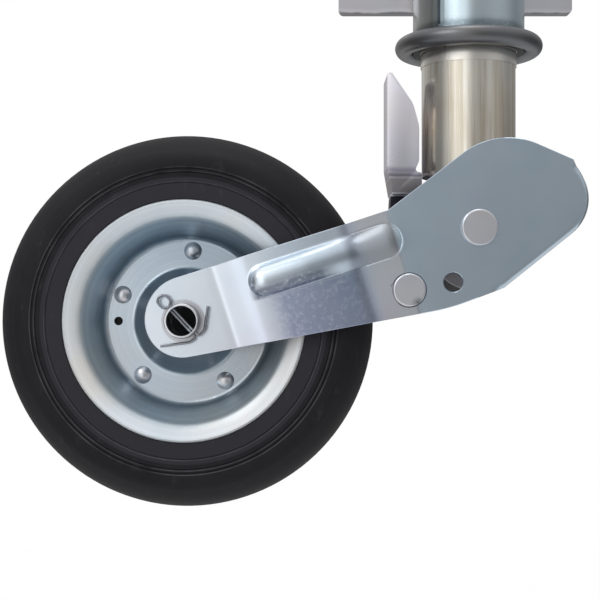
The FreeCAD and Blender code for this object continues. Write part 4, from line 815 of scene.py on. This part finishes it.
def cheekShells(shape, fineness, shells):
    outline, loops, points = cheekPoints(shape, fineness)
    edges, start = [], 0
    for loop in loops:
        order = np.arange(len(loop))
        edges.append(np.stack([order, np.roll(order, -1)], 1) + start)
        start += len(loop)
    spots, _, cells, _, _, _ = delaunay_2d_cdt(
        [Vector(point) for point in points], np.concatenate(edges).tolist(), [], 1,
        fineness["merge"])
    spots, cells = np.array([tuple(spot) for spot in spots]), np.array(cells)
    middles = spots[cells].mean(1)
    cells = cells[insideOf(middles, outline) & outsideHoles(middles, shape, -hair)]
    used, cells = np.unique(cells, return_inverse=True)
    spots, cells = spots[used], cells.reshape(-1, 3)
    outer, inner = levelOf(spots, shape)
    sides = np.concatenate([cells[:, [0, 1]], cells[:, [1, 2]], cells[:, [2, 0]]])
    keys = np.sort(sides, 1) @ [len(spots), 1]
    _, first, counts = np.unique(keys, return_index=True, return_counts=True)
    rim = sides[first[counts == 1]]              # sides that only one triangle has
    atRim = np.zeros(len(spots), bool)
    atRim[rim.ravel()] = True
    cut = atRim & (turnDistance(spots, shape) > shape["turnRound"])
    sunk = np.where(cut, shape["cutEdge"], 0)
    outer, inner = outer - sunk, inner + sunk
    count = len(spots)
    walls = np.stack([rim[:, 1], rim[:, 0], rim[:, 0] + count, rim[:, 1] + count], 1)
    faces = np.concatenate([cells, cells[:, ::-1] + count, walls[:, [0, 1, 2]],
                            walls[:, [0, 2, 3]]])
    for hand in (-1, 1):
        faceSpots = [np.stack([spots[:, 0], hand * y, spots[:, 1]], 1) for y in (outer, inner)]
        addShell(shells, np.concatenate(faceSpots), faces)


# A slab inside a line, from one height to another across the fork.
def bandShell(line, into, thick, shells, low, high):
    inside = line + into * thick
    rings = np.stack([np.column_stack([spots[:, 0], np.full(len(line), y), spots[:, 1]])
                      for spots, y in ((line, low), (line, high), (inside, high), (inside, low))],
                     1)
    count = len(line)
    order = np.arange(count * 4).reshape(count, 4)
    after = np.roll(order, -1, 1)
    quads = [np.stack([order[:-1, i], after[:-1, i], after[1:, i], order[1:, i]], 1)
             for i in range(4)]
    quads += [order[0][None, ::-1], order[-1][None]]
    addShell(shells, rings.reshape(-1, 3), np.concatenate(quads))


# Faces that look towards the fork's middle plane, within 60 degrees: they take the darker zinc,
# painted shade of the fork's inside.
def inwardFaces(spots, normals):
    y, lengths = spots[:, 1], np.linalg.norm(normals, axis=1)
    return y * normals[:, 1] < -0.5 * np.abs(y) * lengths


def makeFork(shape, fineness):
    shells = []
    cheekShells(shape, fineness, shells)
    webHalf = shape["headHalf"] - shape["turnRound"] - shape["sheet"]
    lipIn = shape["headHalf"] - shape["lipWide"]
    band = roundedLine(shape["outline"][shape["band"]], 1, closed=False)
    into = inwardOf(band, closed=False)
    webWay = unit(band[-1] - band[-2])
    straight = 0.003
    turned = np.nonzero(np.abs(into @ webWay) < straight)[0][0]    # where nose becomes web
    bandShell(band[turned:], into[turned:], shape["sheet"], shells, -webHalf, webHalf)
    for low, high in ((-webHalf, -lipIn), (lipIn, webHalf)):
        bandShell(band[:turned + 1], into[:turned + 1], shape["sheet"], shells, low, high)
    fork = makePiece("forkPressing", shells, pivotAt, ["forkZinc", "insideShadedZinc"], 35, inwardFaces)
    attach(fork, "fork")
    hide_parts("fork")


makeFork(forkShape, forkMesh)
print("fork pressed")

# Split pins: a wire folded round an eye, its legs through the axle and bent back, swept along
# its path. The path is in the plane across the axle, turned by the slope; a corner has a radius.

splitPins = {
    "wire": 0.68, "sides": 14, "slope": 46.8, "step": 0.5,
    "places": {"splitWireNear": ("split_pin_near", -37.4), "splitWireFar": ("split_pin_far", 37.4)},
    "path": ((3.48, 14.85), (11.25, 5.22, 3), (11.6, 0.75, 1.3), (-10.4, 0.75, 0.8),
             (-11.3, 2.9, 2.2), (-17, 2.9, 2.7), (-17, -2.9, 2.7), (-11.3, -2.9, 2.2),
             (-10.4, -0.75, 0.8), (11.14, -0.75, 1.3), (10.67, -4.64, 3), (1.86, -17.05)),
}


def makeWire(name, node, offset, setup):
    line = roundedLine(setup["path"], setup["step"], closed=False)
    into = inwardOf(line, closed=False)
    count, sides = len(line), setup["sides"]
    turns = np.linspace(0, 2 * math.pi, sides, endpoint=False)
    flat = line[:, None] + into[:, None] * np.cos(turns)[None, :, None] * setup["wire"]
    high = np.broadcast_to(np.sin(turns) * setup["wire"], (count, sides))
    slope = math.radians(setup["slope"])
    rings = np.stack([flat[..., 0] * math.cos(slope) + flat[..., 1] * math.sin(slope), high,
                      flat[..., 1] * math.cos(slope) - flat[..., 0] * math.sin(slope)], 2)
    ends = rings[[0, -1]].mean(1)
    order = np.arange(count * sides).reshape(count, sides)
    after = np.roll(order, -1, 1)
    quads = np.stack([order[:-1], after[:-1], after[1:], order[1:]], 2).reshape(-1, 4)
    caps = [np.stack([order[end], after[end], np.full(sides, count * sides + tip)][::step], 1)
            for tip, end, step in ((0, 0, -1), (1, -1, 1))]
    faces = np.concatenate([quads[:, [0, 1, 2]], quads[:, [0, 2, 3]], *caps])
    shells = []
    addShell(shells, np.concatenate([rings.reshape(-1, 3), ends]), faces)
    wire = makePiece(name, shells, axleAt + np.array((0, offset * mm, 0)), ["wireZinc"], 50)
    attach(wire, "fork")
    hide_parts(node)


for name, (node, offset) in splitPins["places"].items():
    makeWire(name, node, offset, splitPins)
print("split pins bent")

# Lever: the CAD's solid with its corners rolled off, as a pressed leaf has.

rolledLever = {
    "roll": 1.3, "segments": 3,
    "corner": 38, "flat": 1,          # degrees: what is rolled, and what is one flat
    "merge": 1e-6,
}


def rollEdges(name, setup):
    mesh = bpy.data.meshes.new(name)
    work = bmesh.new()
    work.from_mesh(nodes["release_lever"].data)
    bmesh.ops.remove_doubles(work, verts=work.verts, dist=setup["merge"])
    bmesh.ops.dissolve_limit(work, angle_limit=math.radians(setup["flat"]), verts=work.verts,
                             edges=work.edges)
    work.to_mesh(mesh)
    work.free()
    mesh.polygons.foreach_set("use_smooth", np.ones(len(mesh.polygons), bool))
    mesh.materials.clear()
    mesh.materials.append(materials["leverZinc"])
    lever = bpy.data.objects.new(name, mesh)
    scene.collection.objects.link(lever)
    bevel = lever.modifiers.new("rolled", "BEVEL")
    bevel.width, bevel.segments = setup["roll"] * mm, setup["segments"]
    bevel.limit_method, bevel.angle_limit = "ANGLE", math.radians(setup["corner"])
    bevel.harden_normals = True
    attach(lever, "lever")
    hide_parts("release_lever")


rollEdges("leverLeaf", rolledLever)
print("edges rolled")

# Studio: a pale floor in a white surround, soft boxes above and at the left, darker behind the
# camera. The floor lies below the wheel's lowest pose.

studio = {
    "floorDrop": 0.45,                 # below the tyre at rest
    "halfWide": 1.2, "front": -0.35, "back": 2.4,
    "shade": 0.85,
    "seen": 0.985, "mirrored": 0.2,    # how much of the floor's white the camera and metal see
    "lookAt": (-0.09, -0.036, -0.17),
    "boxes": {                         # place, width, height, power
        "keyBox": ((-1.0, -1.1, 0.8), 0.8, 0.8, 5.0),
        "topBox": ((0.0, -0.1, 1.1), 0.9, 0.5, 3.5),
        "fillBox": ((-0.75, -1.3, 0.0), 1.0, 1.0, 0.6),
    },
    # what the metal sees around it at eye level: degrees from straight behind the camera,
    # leftwards negative, and how bright. A soft panel stands at the left, dark screens beside it.
    "around": ((-180, 0.3), (-150, 0.5), (-141, 0.5), (-130, 0.3), (-111, 0.17), (-90, 0.13),
               (-76, 0.12), (-68, 0.32), (-55, 0.62), (-37, 1.0), (-16, 0.95), (-8, 0.85),
               (-2.5, 0.5), (4, 0.34), (13, 0.3), (22, 0.3), (35, 0.34), (48, 0.4), (62, 0.4),
               (75, 0.36), (90, 0.22), (105, 0.14), (125, 0.2), (145, 0.22), (180, 0.3)),
    "above": 0.95, "below": 0.8,
    "aboveFrom": (0.1, 0.8), "belowFrom": (0.3, 0.4),      # sine of the height, and its range
}


def addFloor(setup):
    shader = Shader("paleFloor")
    seen = shader.node("ShaderNodeLightPath", output="Is Camera Ray") * setup["seen"]
    seen = seen + shader.node("ShaderNodeLightPath", output="Is Glossy Ray") * setup["mirrored"]
    shade = setup["shade"]
    lit = shader.node("ShaderNodeBsdfDiffuse", {}, {"Color": (shade, shade, shade, 1)})
    bright = shader.node("ShaderNodeEmission", {}, {"Color": (1, 1, 1, 1), "Strength": 1.0})
    pale = shader.node("ShaderNodeMixShader", {}, {0: seen, 1: lit, 2: bright})
    clear = shader.node("ShaderNodeBsdfTransparent")        # from below the floor isn't there
    under = shader.node("ShaderNodeNewGeometry", output="Backfacing")
    shader.close(shader.node("ShaderNodeMixShader", {}, {0: under, 1: pale, 2: clear}))
    mesh = bpy.data.meshes.new("floor")
    side, front, back = setup["halfWide"], setup["front"], setup["back"]
    low = cadBounds[0][2] - setup["floorDrop"]
    corners = [(-side, front, low), (side, front, low), (side, back, low), (-side, back, low)]
    mesh.from_pydata(corners, [], [(0, 1, 2, 3)])
    mesh.materials.append(shader.owner)
    floor = bpy.data.objects.new("floor", mesh)
    scene.collection.objects.link(floor)


def addSoftbox(name, place, width, height, power, target):
    data = bpy.data.lights.new(name, "AREA")
    data.shape, data.size, data.size_y, data.energy = "RECTANGLE", width, height, power
    box = bpy.data.objects.new(name, data)
    box.location = place
    box.rotation_euler = (Vector(target) - Vector(place)).to_track_quat("-Z", "Y").to_euler()
    scene.collection.objects.link(box)


# World: the table's brightness round the horizon, blended to one level above and one below;
# the camera itself sees white.
def addWorld(setup):
    world = bpy.data.worlds.new("studio")
    scene.world = world
    shader = Shader("studio", world)
    x, y, z = shader.parts(shader.node("ShaderNodeTexCoord", output="Generated"))
    turn = x.maths("ARCTAN2", y * -1) / (2 * math.pi) + 0.5
    around = shader.ramp(turn, [(angle / 360 + 0.5, (glow,) * 3)
                                for angle, glow in setup["around"]])
    (aboveAt, aboveOver), (belowAt, belowOver) = setup["aboveFrom"], setup["belowFrom"]
    high = ((z - aboveAt) / aboveOver).clamped()
    low = ((z * -1 - belowAt) / belowOver).clamped()
    above, below = ((setup[key],) * 3 + (1,) for key in ("above", "below"))
    level = shader.blend(low, shader.blend(high, around, above), below)
    path = shader.node("ShaderNodeLightPath", output="Is Camera Ray")
    colour = shader.blend(path, level, (1, 1, 1, 1))
    shader.close(shader.node("ShaderNodeBackground", {}, {"Color": colour, "Strength": 1.0}),
                 "ShaderNodeOutputWorld")


addFloor(studio)
for name, box in studio["boxes"].items():
    addSoftbox(name, *box, studio["lookAt"])
addWorld(studio)
scene.view_settings.view_transform = "Standard"
print("studio lit")
